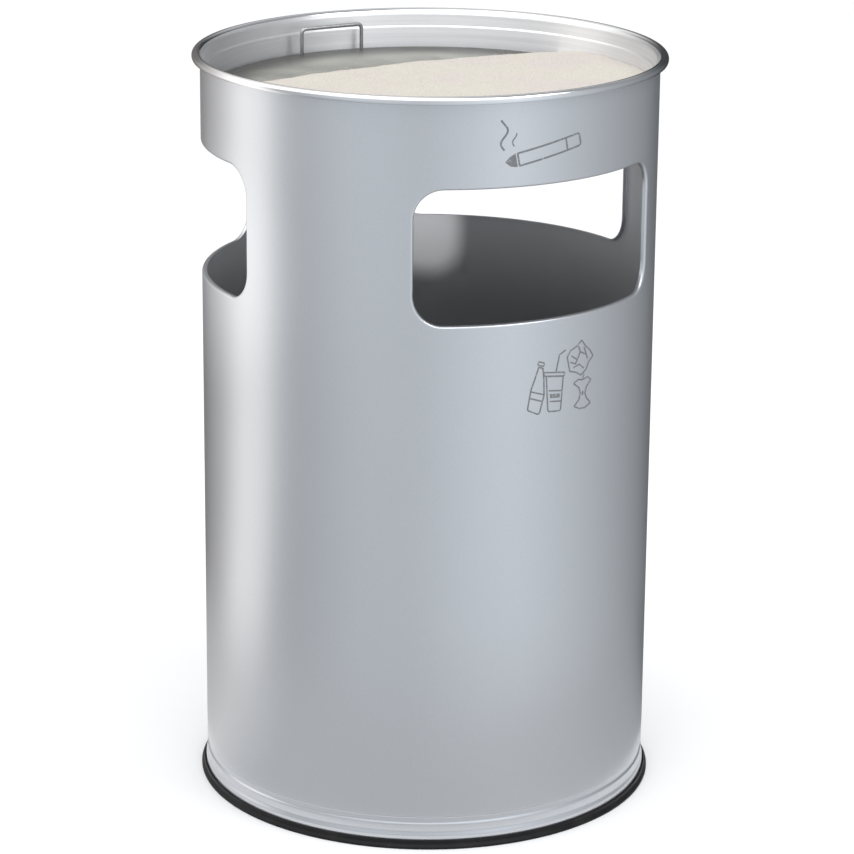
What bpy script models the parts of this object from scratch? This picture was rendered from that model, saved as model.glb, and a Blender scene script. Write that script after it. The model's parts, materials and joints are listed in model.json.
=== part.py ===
"""Round litter bin with a lift-out sand ash tray, a sieve and a galvanised inner bucket.

Frame: +Z up, the origin is on the bin's axis at floor level, and -Y is the front.
Angles round the bin run from the front (-Y) towards the right (+X). All sizes are in metres.
"""

import math

import bmesh
import bpy
from mathutils import Matrix, Vector

# ---- driving dimensions ------------------------------------------------------------------
HEIGHT = 0.648            # floor to the top of the curled rim
BODY_R = 0.195            # outer radius of the drum
BODY_TOP = HEIGHT - 0.0042
BODY_FOOT = 0.0040
FLARE = 0.0012            # how far the drum's foot flares out, and how deep its groove is
FLARE_TOP = 0.0105        # the foot is flared below this height
GROOVE = (0.0205, 0.0285) # lowest and highest point of the groove that holds the base plate
PRESS_SLOPE = 0.0020      # height over which the groove's sides slope
BASE_TOP = 0.0300         # upper face of the base plate
SHEET = 0.0012            # sheet of the drum and the base plate
GAP = 0.0003              # clearance between pieces that touch
FACET_ROOM = 0.0005       # more clearance, where two faceted round walls lie one in the other

OPENING_COUNT = 3
OPENING_FIRST = 32.8      # degrees, middle of the first opening
OPENING_SPAN = 73.0       # degrees, width of one opening
OPENING_LOW = 0.458
OPENING_HIGH = 0.571
OPENING_CORNER = 0.025
LIP_BEND = 0.0025         # outer bend radius of the turned-in lip
LIP_DEPTH = 0.0065        # how far the lip reaches in from the drum's outside

RING_FOOT_R = 0.2003      # floor ring, widest
DRAIN_CIRCLE_R = 0.120    # the base plate's drain holes stand on this circle
DRAIN_R = 0.005
DRAIN_COUNT = 4

TRAY_SHEET = 0.0009
TRAY_DEPTH = 0.0450       # rim top to the underside of the tray's floor
TRAY_STEP_DROP = 0.0150   # rim top to the step in the tray's wall
TRAY_STEP = 0.0012        # how far the wall below the step stands in
CORNER_BEND = 0.0025      # between floor and wall, on the tray and the sieve
RIM_R = 0.2020            # outermost radius of the curled rim
SIEVE_DROP = 0.033        # rim top to the sieve's upper face
SIEVE_R = 0.1882
SIEVE_SHEET = 0.0010

HANDLE_ANGLE = -150.5     # degrees, the back handle; the front one is opposite
HANDLE_R = 0.1815         # radius at which the handle's legs stand
HANDLE_WIDTH = 0.060
HANDLE_RISE = 0.0245      # above the sieve's upper face
HANDLE_WIRE_R = 0.00165
HANDLE_BEND = 0.0065
LEG_TAIL = 0.0035         # how far a leg reaches below the sieve
HOLE_ROOM = 0.0004        # a hole's radius over its wire's
NUT_R = 0.0040

SAND_RIM = 0.0015         # height of the sand's outer edge
SAND_DEPTH = 0.0080
SAND_SLOPE = 0.014        # width of the sloping border
SAND_CENTRE = (0.3105, -0.505)
SAND_EDGE_R = 0.687       # the sand's free edge is an arc of this radius round SAND_CENTRE

LINER_R = 0.1690          # outer radius of the bucket's wall
LINER_SHEET = 0.0010
LINER_TOP = 0.3000        # top of the bucket's rolled rim
CURL_R = 0.0027           # middle-line radius of the bucket's rolled rim
RIM_WIRE_R = 0.0015
BEAD_DROP = 0.0700        # rim to the bead pressed into the wall
BEAD_HALF = 0.004
BEAD_RISE = 0.002
BOTTOM_RISE = 0.008       # the bottom stands this far above the wall's lower edge
BAIL_WIRE_R = 0.0025
BAIL_OUTSIDE = 0.0025     # bail's radius over the rolled rim's
BAIL_TAIL = 0.0130        # how far its ends reach in past the ears
BAIL_BEND = 0.0050
EAR_SHEET = 0.0020
EAR_HALF = 0.0170
EAR_TOP_HALF = 0.0085
EAR_DROP = 0.040          # rim to the ear's lower edge
EAR_SHOULDER_DROP = 0.018
RIVET_DROP = 0.030
RIVET_SPACING = 0.020
RIVET_R = 0.0020
RIVET_HEAD_R = 0.0040
RIVET_HOLE_R = 0.0025

# ---- places worked out from them ---------------------------------------------------------
BODY_IN_R = BODY_R - SHEET
FLARE_R = BODY_R + FLARE
SIEVE_TOP = HEIGHT - SIEVE_DROP
TRAY_WALL_R = BODY_IN_R - GAP - TRAY_SHEET / 2 - FACET_ROOM
TRAY_LOW_R = TRAY_WALL_R - TRAY_STEP
TRAY_FLOOR = HEIGHT - TRAY_DEPTH + TRAY_SHEET
LINER_FOOT = BASE_TOP + GAP
LINER_IN_R = LINER_R - LINER_SHEET
CURL_MID_R = LINER_R + CURL_R - LINER_SHEET / 2
BAIL_AXIS = LINER_TOP + GAP + BAIL_WIRE_R
BAIL_R = CURL_MID_R + BAIL_OUTSIDE
EAR_OUT_R = LINER_IN_R - GAP - FACET_ROOM


# ---- helpers -----------------------------------------------------------------------------
def material(name, color, roughness, metallic=0.0):
    mat = bpy.data.materials.new(name)
    mat.use_nodes = True
    shader = mat.node_tree.nodes["Principled BSDF"]
    shader.inputs["Base Color"].default_value = (*color, 1.0)
    shader.inputs["Roughness"].default_value = roughness
    shader.inputs["Metallic"].default_value = metallic
    return mat


def add_object(name, bm, mat, parent=None, sharp_angle=35.0):
    """Turn a bmesh into a smooth-shaded object; a parent's location is the mesh's own zero."""
    mesh = bpy.data.meshes.new(name)
    bmesh.ops.recalc_face_normals(bm, faces=bm.faces)
    bm.to_mesh(mesh)
    bm.free()
    mesh.shade_smooth()
    mesh.set_sharp_from_angle(angle=math.radians(sharp_angle))
    obj = bpy.data.objects.new(name, mesh)
    obj.data.materials.append(mat)
    bpy.context.scene.collection.objects.link(obj)
    obj.parent = parent
    return obj


def joint_empty(name, location, parent=None):
    empty = bpy.data.objects.new(name, None)
    empty.location = location
    empty.parent = parent
    bpy.context.scene.collection.objects.link(empty)
    return empty


def around(angle_deg, radius, z):
    """A point on the bin at an angle from the front towards the right."""
    a = math.radians(angle_deg)
    return Vector((radius * math.sin(a), -radius * math.cos(a), z))


def fillet(points, radii, steps=3):
    """Round the inner corners of a polyline of (r, z) points; a radius of 0 keeps the corner."""
    rounded = []
    for i, (point, radius) in enumerate(zip(points, radii)):
        p = Vector(point)
        if radius == 0:
            rounded.append(p)
            continue
        before = (Vector(points[i - 1]) - p).normalized()
        after = (Vector(points[(i + 1) % len(points)]) - p).normalized()
        half = before.angle(after) / 2
        start = p + before * radius / math.tan(half)
        centre = p + (before + after).normalized() * radius / math.sin(half)
        turn = (start - centre).angle_signed(p + after * radius / math.tan(half) - centre)
        for k in range(steps + 1):
            spoke = start - centre
            spoke.rotate(Matrix.Rotation(-turn * k / steps, 2))
            rounded.append(centre + spoke)
    return rounded


def arc(centre_r, centre_z, radius, start_deg, end_deg, steps):
    """Points of an arc in the (r, z) half-plane, angles from +r towards +z."""
    angles = [math.radians(start_deg + (end_deg - start_deg) * k / steps) for k in range(steps + 1)]
    return [Vector((centre_r + radius * math.cos(a), centre_z + radius * math.sin(a))) for a in angles]


def spin(bm, points, closed, segments):
    """Turn a polyline of (r, z) points once round the Z axis."""
    verts = [bm.verts.new((p[0], 0.0, p[1])) for p in points]
    pairs = list(zip(verts, verts[1:]))
    if closed:
        pairs.append((verts[-1], verts[0]))
    edges = [bm.edges.new(pair) for pair in pairs]
    bmesh.ops.spin(bm, geom=verts + edges, cent=(0, 0, 0), axis=(0, 0, 1),
                   angle=2 * math.pi, steps=segments, use_merge=True)
    bmesh.ops.remove_doubles(bm, verts=bm.verts, dist=1e-6)


def turned_solid(name, outline, mat, segments, parent=None):
    """A ring or a disc from its closed outline; points on the axis become its poles."""
    bm = bmesh.new()
    on_axis = min(p[0] for p in outline) < 1e-9
    spin(bm, outline, not on_axis, segments)
    return add_object(name, bm, mat, parent)


def repeat(first, places):
    """Put a piece at the first place and copies of it at the others, numbered from 1."""
    name = first.name
    for number, place in enumerate(places, 1):
        copy = first if number == 1 else bpy.data.objects.new(name, first.data)
        copy.name = f"{name}_{number}"
        copy.parent = first.parent
        copy.matrix_local = place
        if number > 1:
            bpy.context.scene.collection.objects.link(copy)


def spun_sheet(name, points, thickness, mat, segments, parent=None):
    """Sheet metal turned from its middle line, given thickness by Solidify."""
    bm = bmesh.new()
    spin(bm, points, False, segments)
    obj = add_object(name, bm, mat, parent)
    solid = obj.modifiers.new("sheet", "SOLIDIFY")
    solid.thickness = thickness
    solid.offset = 0.0
    solid.use_even_offset = True
    return obj


def wire(name, points, radius, mat, parent=None, cyclic=False):
    """Round wire along a list of points."""
    curve = bpy.data.curves.new(name, "CURVE")
    curve.dimensions = "3D"
    curve.bevel_depth = radius
    curve.bevel_resolution = 2
    curve.use_fill_caps = True
    spline = curve.splines.new("POLY")
    spline.points.add(len(points) - 1)
    for target, p in zip(spline.points, points):
        target.co = (*p, 1.0)
    spline.use_cyclic_u = cyclic
    obj = bpy.data.objects.new(name, curve)
    obj.data.materials.append(mat)
    bpy.context.scene.collection.objects.link(obj)
    obj.parent = parent
    return obj


def bent(points, radius, steps=4):
    """Round the corners of a 3-D polyline, as a wire is bent."""
    path = [Vector(points[0])]
    for before, corner, after in zip(points, points[1:], points[2:]):
        a = (before - corner).normalized()
        b = (after - corner).normalized()
        half = a.angle(b) / 2
        centre = corner + (a + b).normalized() * radius / math.sin(half)
        start = corner + a * radius / math.tan(half) - centre
        end = corner + b * radius / math.tan(half) - centre
        for k in range(steps + 1):
            path.append(centre + start.slerp(end, k / steps) * radius)
    path.append(Vector(points[-1]))
    return path


def cut(obj, cutters):
    """Take the cutters away from an object."""
    for cutter in cutters:
        cutter.hide_render = True
        cutter.display_type = "WIRE"
        boolean = obj.modifiers.new("cut", "BOOLEAN")
        boolean.operation = "DIFFERENCE"
        boolean.solver = "EXACT"
        boolean.object = cutter


def drill(name, centre, direction, radius, length, segments=10):
    """A cylinder that cuts a round hole."""
    bm = bmesh.new()
    bmesh.ops.create_cone(bm, cap_ends=True, segments=segments, radius1=radius, radius2=radius,
                          depth=length)
    turn = Vector((0, 0, 1)).rotation_difference(Vector(direction)).to_matrix().to_4x4()
    bmesh.ops.transform(bm, matrix=Matrix.Translation(centre) @ turn, verts=bm.verts)
    return add_object(name, bm, MATERIALS["steel_wire"])


# ---- the drum ----------------------------------------------------------------------------
def opening_loop(inset, depth, corner_steps, straight_steps):
    """One opening's outline, clockwise from the upper left, moved in by inset and set back."""
    half = math.radians(OPENING_SPAN / 2) * BODY_R - inset
    low, high = OPENING_LOW + inset, OPENING_HIGH - inset
    corner = OPENING_CORNER - inset
    loop = []
    for sx, sz, start in ((-1, 1, 180), (1, 1, 90), (1, -1, 0), (-1, -1, -90)):
        cs = sx * (half - corner)
        cz = (high if sz > 0 else low) - sz * corner
        for k in range(corner_steps + 1):
            a = math.radians(start - 90 * k / corner_steps)
            loop.append((cs + corner * math.cos(a), cz + corner * math.sin(a), depth))
        if sx * sz > 0:
            continue
        ends = -cs
        for k in range(1, straight_steps):
            loop.append((cs + (ends - cs) * k / straight_steps, loop[-1][1], depth))
    return loop


def body_shell(mat):
    """The drum is laid out flat as (arc length, height, depth) and then rolled up."""
    corner_steps, straight_steps, post_steps = 4, 9, 7
    sector = 2 * math.pi / OPENING_COUNT * BODY_R
    loop = opening_loop(-LIP_BEND, 0.0, corner_steps, straight_steps)
    half = max(p[0] for p in loop)
    inner = half - OPENING_CORNER - LIP_BEND
    low, high = GROOVE
    rows = [(BODY_FOOT, -FLARE), (FLARE_TOP, -FLARE), (FLARE_TOP + 2 * PRESS_SLOPE, 0.0),
            (low, 0.0), (low + PRESS_SLOPE, FLARE), (high - PRESS_SLOPE, FLARE), (high, 0.0)]
    frame_rows = sorted({p[1] for p in (loop[0], loop[corner_steps])}
                        | {p[1] for p in (loop[-1], loop[-1 - corner_steps])})
    rows += [(z, 0.0) for z in frame_rows] + [(BODY_TOP, 0.0)]

    columns = [-half, -inner]
    columns += [-inner + 2 * inner * k / straight_steps for k in range(1, straight_steps)]
    columns += [inner, half]
    columns += [half + (sector - 2 * half) * k / post_steps for k in range(1, post_steps)]

    bm = bmesh.new()
    grid = {}

    def vert(s, z, depth):
        key = (round(s, 7), round(z, 7), round(depth, 7))
        if key not in grid:
            grid[key] = bm.verts.new((s, z, depth))
        return grid[key]

    total = sector * OPENING_COUNT
    for n in range(OPENING_COUNT):
        shift = n * sector

        def at(s, z, depth):
            return vert((s + shift + half + 1e-9) % total, z, depth)

        ends = columns[1:] + [sector - half]
        for left, right in zip(columns, ends):
            for (z0, d0), (z1, d1) in zip(rows, rows[1:]):
                beside = right <= half + 1e-9 and z0 > frame_rows[0] - 1e-9 and z1 < frame_rows[-1] + 1e-9
                if not beside:
                    bm.faces.new([at(left, z0, d0), at(right, z0, d0), at(right, z1, d1), at(left, z1, d1)])

        for i, (sx, sz) in enumerate(((-1, 1), (1, 1), (1, -1), (-1, -1))):
            first = (0, corner_steps + straight_steps, 2 * corner_steps + straight_steps + 1,
                     3 * corner_steps + 2 * straight_steps + 1)[i]
            arc_points = loop[first:first + corner_steps + 1]
            tip = (sx * half, frame_rows[-1] if sz > 0 else frame_rows[0], 0.0)
            bm.faces.new([at(*tip)] + [at(*p) for p in arc_points])

        bend = [(LIP_BEND * (1 - math.sin(a)), LIP_BEND * (1 - math.cos(a)))
                for a in (math.pi / 4, math.pi / 2)]
        rings = [loop]
        rings += [opening_loop(-inset, depth, corner_steps, straight_steps) for inset, depth in bend]
        rings.append(opening_loop(0.0, LIP_DEPTH, corner_steps, straight_steps))
        for outer, lower in zip(rings, rings[1:]):
            for k in range(len(outer)):
                m = (k + 1) % len(outer)
                bm.faces.new([at(*outer[k]), at(*outer[m]), at(*lower[m]), at(*lower[k])])

    start = OPENING_FIRST - math.degrees(half / BODY_R)
    for v in bm.verts:
        s, z, depth = v.co
        v.co = around(start + math.degrees(s / BODY_R), BODY_R - depth, z)
    obj = add_object("body_shell", bm, mat)
    solid = obj.modifiers.new("sheet", "SOLIDIFY")
    solid.thickness = SHEET
    solid.offset = -1.0
    solid.use_even_offset = True
    return obj


def base_plate(mat):
    """Plate with a pressed ring groove and a turned-down flange that stands in the drum's groove."""
    middle = BODY_IN_R - FLARE - GAP - FACET_ROOM - SHEET / 2
    top = BASE_TOP - SHEET / 2
    groove_in, groove_out, groove_slope, groove_depth = 0.150, 0.182, 0.006, 0.003
    flange_foot, flange_bend = 0.012, 0.002
    line = fillet([(0, top), (groove_in, top), (groove_in + groove_slope, top - groove_depth),
                   (groove_out - groove_slope, top - groove_depth), (groove_out, top),
                   (middle, top), (middle, flange_foot)], [0, 0, 0, 0, 0, flange_bend, 0])
    plate = spun_sheet("base_plate", line, SHEET, mat, 48)
    places = [around(360 * (n + 0.5) / DRAIN_COUNT, DRAIN_CIRCLE_R, BASE_TOP) for n in range(DRAIN_COUNT)]
    cut(plate, [drill(f"drain_{n}", place, (0, 0, 1), DRAIN_R, 0.02) for n, place in enumerate(places)])
    return plate


def floor_ring(mat):
    """Rubber ring with a foot lip; the drum's lower edge stands in its slot."""
    slot_out = FLARE_R + 2 * GAP
    slot_in = FLARE_R - SHEET - 3 * GAP
    slot_floor = BODY_FOOT - GAP
    wall = 0.0018
    lip_top, neck, collar, inner_top = 0.0018, 0.0042, 0.0070, 0.0070
    outline = [(RING_FOOT_R, 0.0), (RING_FOOT_R, lip_top), (RING_FOOT_R - wall, lip_top + wall),
               (FLARE_R + wall, neck), (FLARE_R + wall, collar), (slot_out, collar + 2 * GAP),
               (slot_out, slot_floor), (slot_in, slot_floor), (slot_in, inner_top),
               (slot_in - wall, inner_top), (slot_in - wall, 0.0)]
    return turned_solid("floor_ring", outline, mat, 60)


# ---- the ash tray ------------------------------------------------------------------------
def ash_tray(mat, parent):
    """Spun dish: floor, rounded corner, stepped wall and a rim curled over the drum's edge."""
    floor = TRAY_FLOOR - TRAY_SHEET / 2
    step = HEIGHT - TRAY_STEP_DROP
    crown_r = (RIM_R - TRAY_SHEET / 2 + TRAY_WALL_R) / 2
    crown = crown_r - TRAY_WALL_R
    crown_z = HEIGHT - TRAY_SHEET / 2 - crown
    line = fillet([(0, floor), (TRAY_LOW_R, floor), (TRAY_LOW_R, step - TRAY_STEP),
                   (TRAY_WALL_R, step), (TRAY_WALL_R, crown_z)], [0, CORNER_BEND, 0, 0, 0], 2)[:-1]
    line += arc(crown_r, crown_z, crown, 180, -25, 7)
    hem_bottom, hem_end = HEIGHT - 0.0070, HEIGHT - 0.0066
    line += [Vector((crown_r + 0.0012, hem_bottom)), Vector((crown_r - 0.0008, hem_end))]
    return spun_sheet("ash_tray", line, TRAY_SHEET, mat, 60, parent)


def handle_frame(angle):
    """Middle of a handle's two legs, and the directions across it and outwards."""
    outward = around(angle, 1.0, 0.0)
    across = Vector((outward.y, -outward.x, 0.0))
    legs_r = math.sqrt(HANDLE_R ** 2 - (HANDLE_WIDTH / 2) ** 2)
    return outward * legs_r, across


def handle_legs():
    feet = []
    for angle in (HANDLE_ANGLE, HANDLE_ANGLE + 180):
        middle, across = handle_frame(angle)
        feet += [middle + across * side * HANDLE_WIDTH / 2 for side in (-1, 1)]
    return feet


def sieve_plate(mat, parent):
    """Flat plate with an edge turned down, on which it stands in the tray."""
    top = SIEVE_TOP - SIEVE_SHEET / 2
    middle = SIEVE_R - SIEVE_SHEET / 2
    line = fillet([(0, top), (middle, top), (middle, TRAY_FLOOR + GAP)], [0, CORNER_BEND, 0], 2)
    plate = spun_sheet("sieve_plate", line, SIEVE_SHEET, mat, 48, parent)
    cut(plate, [drill(f"leg_hole_{n}", foot + Vector((0, 0, SIEVE_TOP)), (0, 0, 1),
                      HANDLE_WIRE_R + HOLE_ROOM, 0.006)
                for n, foot in enumerate(handle_legs())])
    return plate


def sieve_handle(name, angle, mat, parent):
    middle, across = handle_frame(angle)
    half = across * HANDLE_WIDTH / 2
    low = Vector((0, 0, SIEVE_TOP - SIEVE_SHEET - LEG_TAIL))
    high = Vector((0, 0, SIEVE_TOP + HANDLE_RISE - HANDLE_WIRE_R))
    corners = [middle - half + low, middle - half + high, middle + half + high, middle + half + low]
    return wire(name, bent(corners, HANDLE_BEND), HANDLE_WIRE_R, mat, parent)


def handle_nuts(mat, parent):
    """Push-on nuts under the plate, one on each leg, all on one mesh."""
    hole = HANDLE_WIRE_R + GAP
    thickness, rim = 0.0006, 0.0009
    outline = [(hole, -thickness), (hole, 0.0), (NUT_R, 0.0), (NUT_R, -rim)]
    top = Vector((0, 0, SIEVE_TOP - SIEVE_SHEET - GAP))
    places = [Matrix.Translation(foot + top) for foot in handle_legs()]
    repeat(turned_solid("handle_nut", outline, mat, 12, parent), places)


def sand_outline(edge_r, steps_wall, steps_edge):
    """The sand covers the tray up to a long shallow arc that leaves a crescent at the back left."""
    far = Vector(SAND_CENTRE)
    reach = far.length
    along = (edge_r ** 2 - SAND_EDGE_R ** 2 + reach ** 2) / (2 * reach)
    half_chord = math.sqrt(edge_r ** 2 - along ** 2)
    unit = far.normalized()
    side = Vector((-unit.y, unit.x))
    ends = [unit * along + side * half_chord * s for s in (-1, 1)]
    spread = ends[0].angle(unit)
    points = []
    for k in range(steps_wall):
        p = unit * edge_r
        p.rotate(Matrix.Rotation(-spread + 2 * spread * k / steps_wall, 2))
        points.append(p)
    start, end = ends[1] - far, ends[0] - far
    turn = start.angle(end)
    for k in range(steps_edge):
        p = start.copy()
        p.rotate(Matrix.Rotation(turn * k / steps_edge, 2))
        points.append(far + p)
    return points


def sand(mat, parent):
    """The sand as a low pile with sloping edges."""
    bm = bmesh.new()
    low = SIEVE_TOP + GAP
    outline = [bm.verts.new((*p, low)) for p in sand_outline(SIEVE_R - FACET_ROOM, 36, 12)]
    base = bm.faces.new(outline)
    bmesh.ops.recalc_face_normals(bm, faces=[base])
    top = bmesh.ops.extrude_face_region(bm, geom=[base])
    lid = [f for f in top["geom"] if isinstance(f, bmesh.types.BMFace)]
    bmesh.ops.translate(bm, verts=lid[0].verts, vec=(0, 0, SAND_RIM))
    bmesh.ops.inset_region(bm, faces=lid, thickness=SAND_SLOPE, depth=0.0, use_even_offset=True)
    bmesh.ops.translate(bm, verts=lid[0].verts, vec=(0, 0, SAND_DEPTH - SAND_RIM))
    pile = add_object("sand", bm, mat, parent)
    front_legs = handle_legs()[2:]
    cut(pile, [drill(f"sand_leg_{n}", foot + Vector((0, 0, SIEVE_TOP)), (0, 0, 1),
                     HANDLE_WIRE_R + HOLE_ROOM, 0.03) for n, foot in enumerate(front_legs)])
    return pile


# ---- the inner bucket --------------------------------------------------------------------
def liner_wall(mat, parent):
    """Bucket wall with a pressed bead and a rim rolled outwards round a wire."""
    middle = LINER_R - LINER_SHEET / 2
    curl_z = LINER_TOP - CURL_R - LINER_SHEET / 2
    bead = LINER_TOP - BEAD_DROP
    line = [Vector((middle, LINER_FOOT)), Vector((middle, bead - BEAD_HALF)),
            Vector((middle + BEAD_RISE, bead)), Vector((middle, bead + BEAD_HALF))]
    line += arc(CURL_MID_R, curl_z, CURL_R, 180, -110, 6)
    wall = spun_sheet("liner_wall", line, LINER_SHEET, mat, 48, parent)
    cut(wall, [drill(f"wall_hole_{n}", place, out, RIVET_HOLE_R, 0.012)
               for n, (place, out) in enumerate(rivet_places())])
    return wall


def liner_base(mat, parent):
    """Bottom with a turned-down edge that stands inside the wall."""
    middle = LINER_IN_R - 2 * GAP - LINER_SHEET / 2
    top = LINER_FOOT + BOTTOM_RISE
    line = fillet([(0, top), (middle, top), (middle, LINER_FOOT)], [0, 0.002, 0], 2)
    return spun_sheet("liner_base", line, LINER_SHEET, mat, 48, parent)


def liner_rim_wire(mat, parent):
    steps = 48
    z = LINER_TOP - CURL_R - LINER_SHEET / 2
    ring = [around(360 * n / steps, CURL_MID_R, z) for n in range(steps)]
    return wire("liner_rim_wire", ring, RIM_WIRE_R, mat, parent, cyclic=True)


def rivet_places():
    """Middle of each rivet on the bucket's wall, with its outward direction."""
    places = []
    for side in (-1, 1):
        for across in (-RIVET_SPACING / 2, RIVET_SPACING / 2):
            angle = 90 * side + math.degrees(across / LINER_IN_R)
            places.append((around(angle, LINER_IN_R, LINER_TOP - RIVET_DROP), around(angle, 1.0, 0.0)))
    return places


def bail_ear(name, side, mat, parent):
    """Ear plate on the inside of the wall, standing above the rim, with the bail's hole."""
    bm = bmesh.new()
    low, shoulder = LINER_TOP - EAR_DROP, LINER_TOP - EAR_SHOULDER_DROP
    high = BAIL_AXIS + EAR_TOP_HALF
    outline = fillet([(-EAR_HALF, low), (EAR_HALF, low), (EAR_HALF, shoulder), (EAR_TOP_HALF, high),
                      (-EAR_TOP_HALF, high), (-EAR_HALF, shoulder)], [0.004, 0.004, 0, 0.006, 0.006, 0], 3)
    face = bm.faces.new([bm.verts.new((x, 0.0, z)) for x, z in outline])
    solid = bmesh.ops.extrude_face_region(bm, geom=[face])
    back = [v for v in solid["geom"] if isinstance(v, bmesh.types.BMVert)]
    bmesh.ops.translate(bm, verts=back, vec=(0, EAR_SHEET, 0))
    for x in (-0.014, -0.010, -0.005, 0.0, 0.005, 0.010, 0.014):
        bmesh.ops.bisect_plane(bm, geom=bm.verts[:] + bm.edges[:] + bm.faces[:], dist=1e-7,
                               plane_co=(x, 0, 0), plane_no=(1, 0, 0))
    for v in bm.verts:
        angle = 90 * side + math.degrees(v.co.x / EAR_OUT_R)
        v.co = around(angle, EAR_OUT_R - v.co.y, v.co.z)
    ear = add_object(name, bm, mat, parent)
    hole = drill(f"{name}_hole", Vector((side * EAR_OUT_R, 0, BAIL_AXIS)), (1, 0, 0),
                 BAIL_WIRE_R + 0.0005, 0.012, 12)
    rivets = [drill(f"{name}_rivet_{n}", place, out, RIVET_HOLE_R, 0.012)
              for n, (place, out) in enumerate(rivet_places()) if place.x * side > 0]
    cut(ear, [hole] + rivets)
    return ear


def ear_rivets(mat, parent):
    """Domed rivets through ear and wall, all on one mesh."""
    inside = LINER_IN_R - EAR_OUT_R + EAR_SHEET + GAP
    outside = LINER_SHEET + GAP
    dome = 0.0015
    outline = [(0, -inside - dome), (0.6 * RIVET_HEAD_R, -inside - 0.9 * dome), (RIVET_HEAD_R, -inside),
               (RIVET_R, -inside), (RIVET_R, outside), (0.95 * RIVET_HEAD_R, outside),
               (0.6 * RIVET_HEAD_R, outside + 0.9 * dome), (0, outside + dome)]
    up = Vector((0, 0, 1))
    places = [Matrix.Translation(place) @ up.rotation_difference(out).to_matrix().to_4x4()
              for place, out in rivet_places()]
    repeat(turned_solid("ear_rivet", outline, mat, 10, parent), places)


def liner_bail(mat, parent):
    """Half-round wire bail lying on the rim towards the front, its ends through the ears."""
    straight = 0.0115
    start = math.degrees(math.asin(straight / BAIL_R))
    steps = 22
    sweep = [around(90 - start - (180 - 2 * start) * k / steps, BAIL_R, 0.0) for k in range(steps + 1)]
    tip = Vector((EAR_OUT_R - BAIL_TAIL, 0, 0))
    right = bent([sweep[1], Vector((BAIL_R, 0, 0)), tip], BAIL_BEND, 5)
    left = [Vector((-p.x, p.y, 0)) for p in reversed(right[1:])]
    points = list(reversed(right[1:])) + sweep[1:-1] + list(reversed(left))
    return wire("liner_bail", points, BAIL_WIRE_R, mat, parent)


# ---- assembly ----------------------------------------------------------------------------
for old in list(bpy.data.objects):
    bpy.data.objects.remove(old, do_unlink=True)

MATERIALS = {
    "silver_coat": material("silver_coat", (0.55, 0.57, 0.60), 0.38, 0.55),
    "inner_coat": material("inner_coat", (0.30, 0.31, 0.33), 0.50, 0.40),
    "black_rubber": material("black_rubber", (0.03, 0.03, 0.03), 0.60),
    "tray_coat": material("tray_coat", (0.66, 0.67, 0.68), 0.40, 0.45),
    "sieve_zinc": material("sieve_zinc", (0.42, 0.42, 0.39), 0.50, 0.80),
    "steel_wire": material("steel_wire", (0.60, 0.60, 0.60), 0.30, 1.00),
    "push_nut_steel": material("push_nut_steel", (0.35, 0.34, 0.33), 0.40, 1.00),
    "sand": material("sand", (0.78, 0.74, 0.66), 0.95),
    "galvanised": material("galvanised", (0.52, 0.54, 0.55), 0.45, 0.90),
    "bail_steel": material("bail_steel", (0.45, 0.46, 0.47), 0.35, 1.00),
}

tray_lift = joint_empty("tray_lift", (0, 0, 0))
sieve_lift = joint_empty("sieve_lift", (0, 0, 0), tray_lift)
liner_lift = joint_empty("liner_lift", (0, 0, 0))
bail_hinge = joint_empty("bail_hinge", (0, 0, BAIL_AXIS), liner_lift)

body_shell(MATERIALS["silver_coat"])
base_plate(MATERIALS["inner_coat"])
floor_ring(MATERIALS["black_rubber"])

ash_tray(MATERIALS["tray_coat"], tray_lift)
sieve_plate(MATERIALS["sieve_zinc"], sieve_lift)
sieve_handle("sieve_handle_back", HANDLE_ANGLE, MATERIALS["steel_wire"], sieve_lift)
sieve_handle("sieve_handle_front", HANDLE_ANGLE + 180, MATERIALS["steel_wire"], sieve_lift)
handle_nuts(MATERIALS["push_nut_steel"], sieve_lift)
sand(MATERIALS["sand"], sieve_lift)

liner_wall(MATERIALS["galvanised"], liner_lift)
liner_base(MATERIALS["galvanised"], liner_lift)
liner_rim_wire(MATERIALS["steel_wire"], liner_lift)
bail_ear("bail_ear_left", -1, MATERIALS["galvanised"], liner_lift)
bail_ear("bail_ear_right", 1, MATERIALS["galvanised"], liner_lift)
ear_rivets(MATERIALS["push_nut_steel"], liner_lift)
liner_bail(MATERIALS["bail_steel"], bail_hinge)
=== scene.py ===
"""Looks of a round litter bin with a sand ash tray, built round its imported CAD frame.

Angles round the bin are in degrees from the front (-Y) towards the right (+X). Sizes are in
metres, and inside the pictograms in millimetres.
"""

import json
import math
import random

import bmesh
import bpy
from mathutils import Matrix, Vector, geometry, noise


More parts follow.
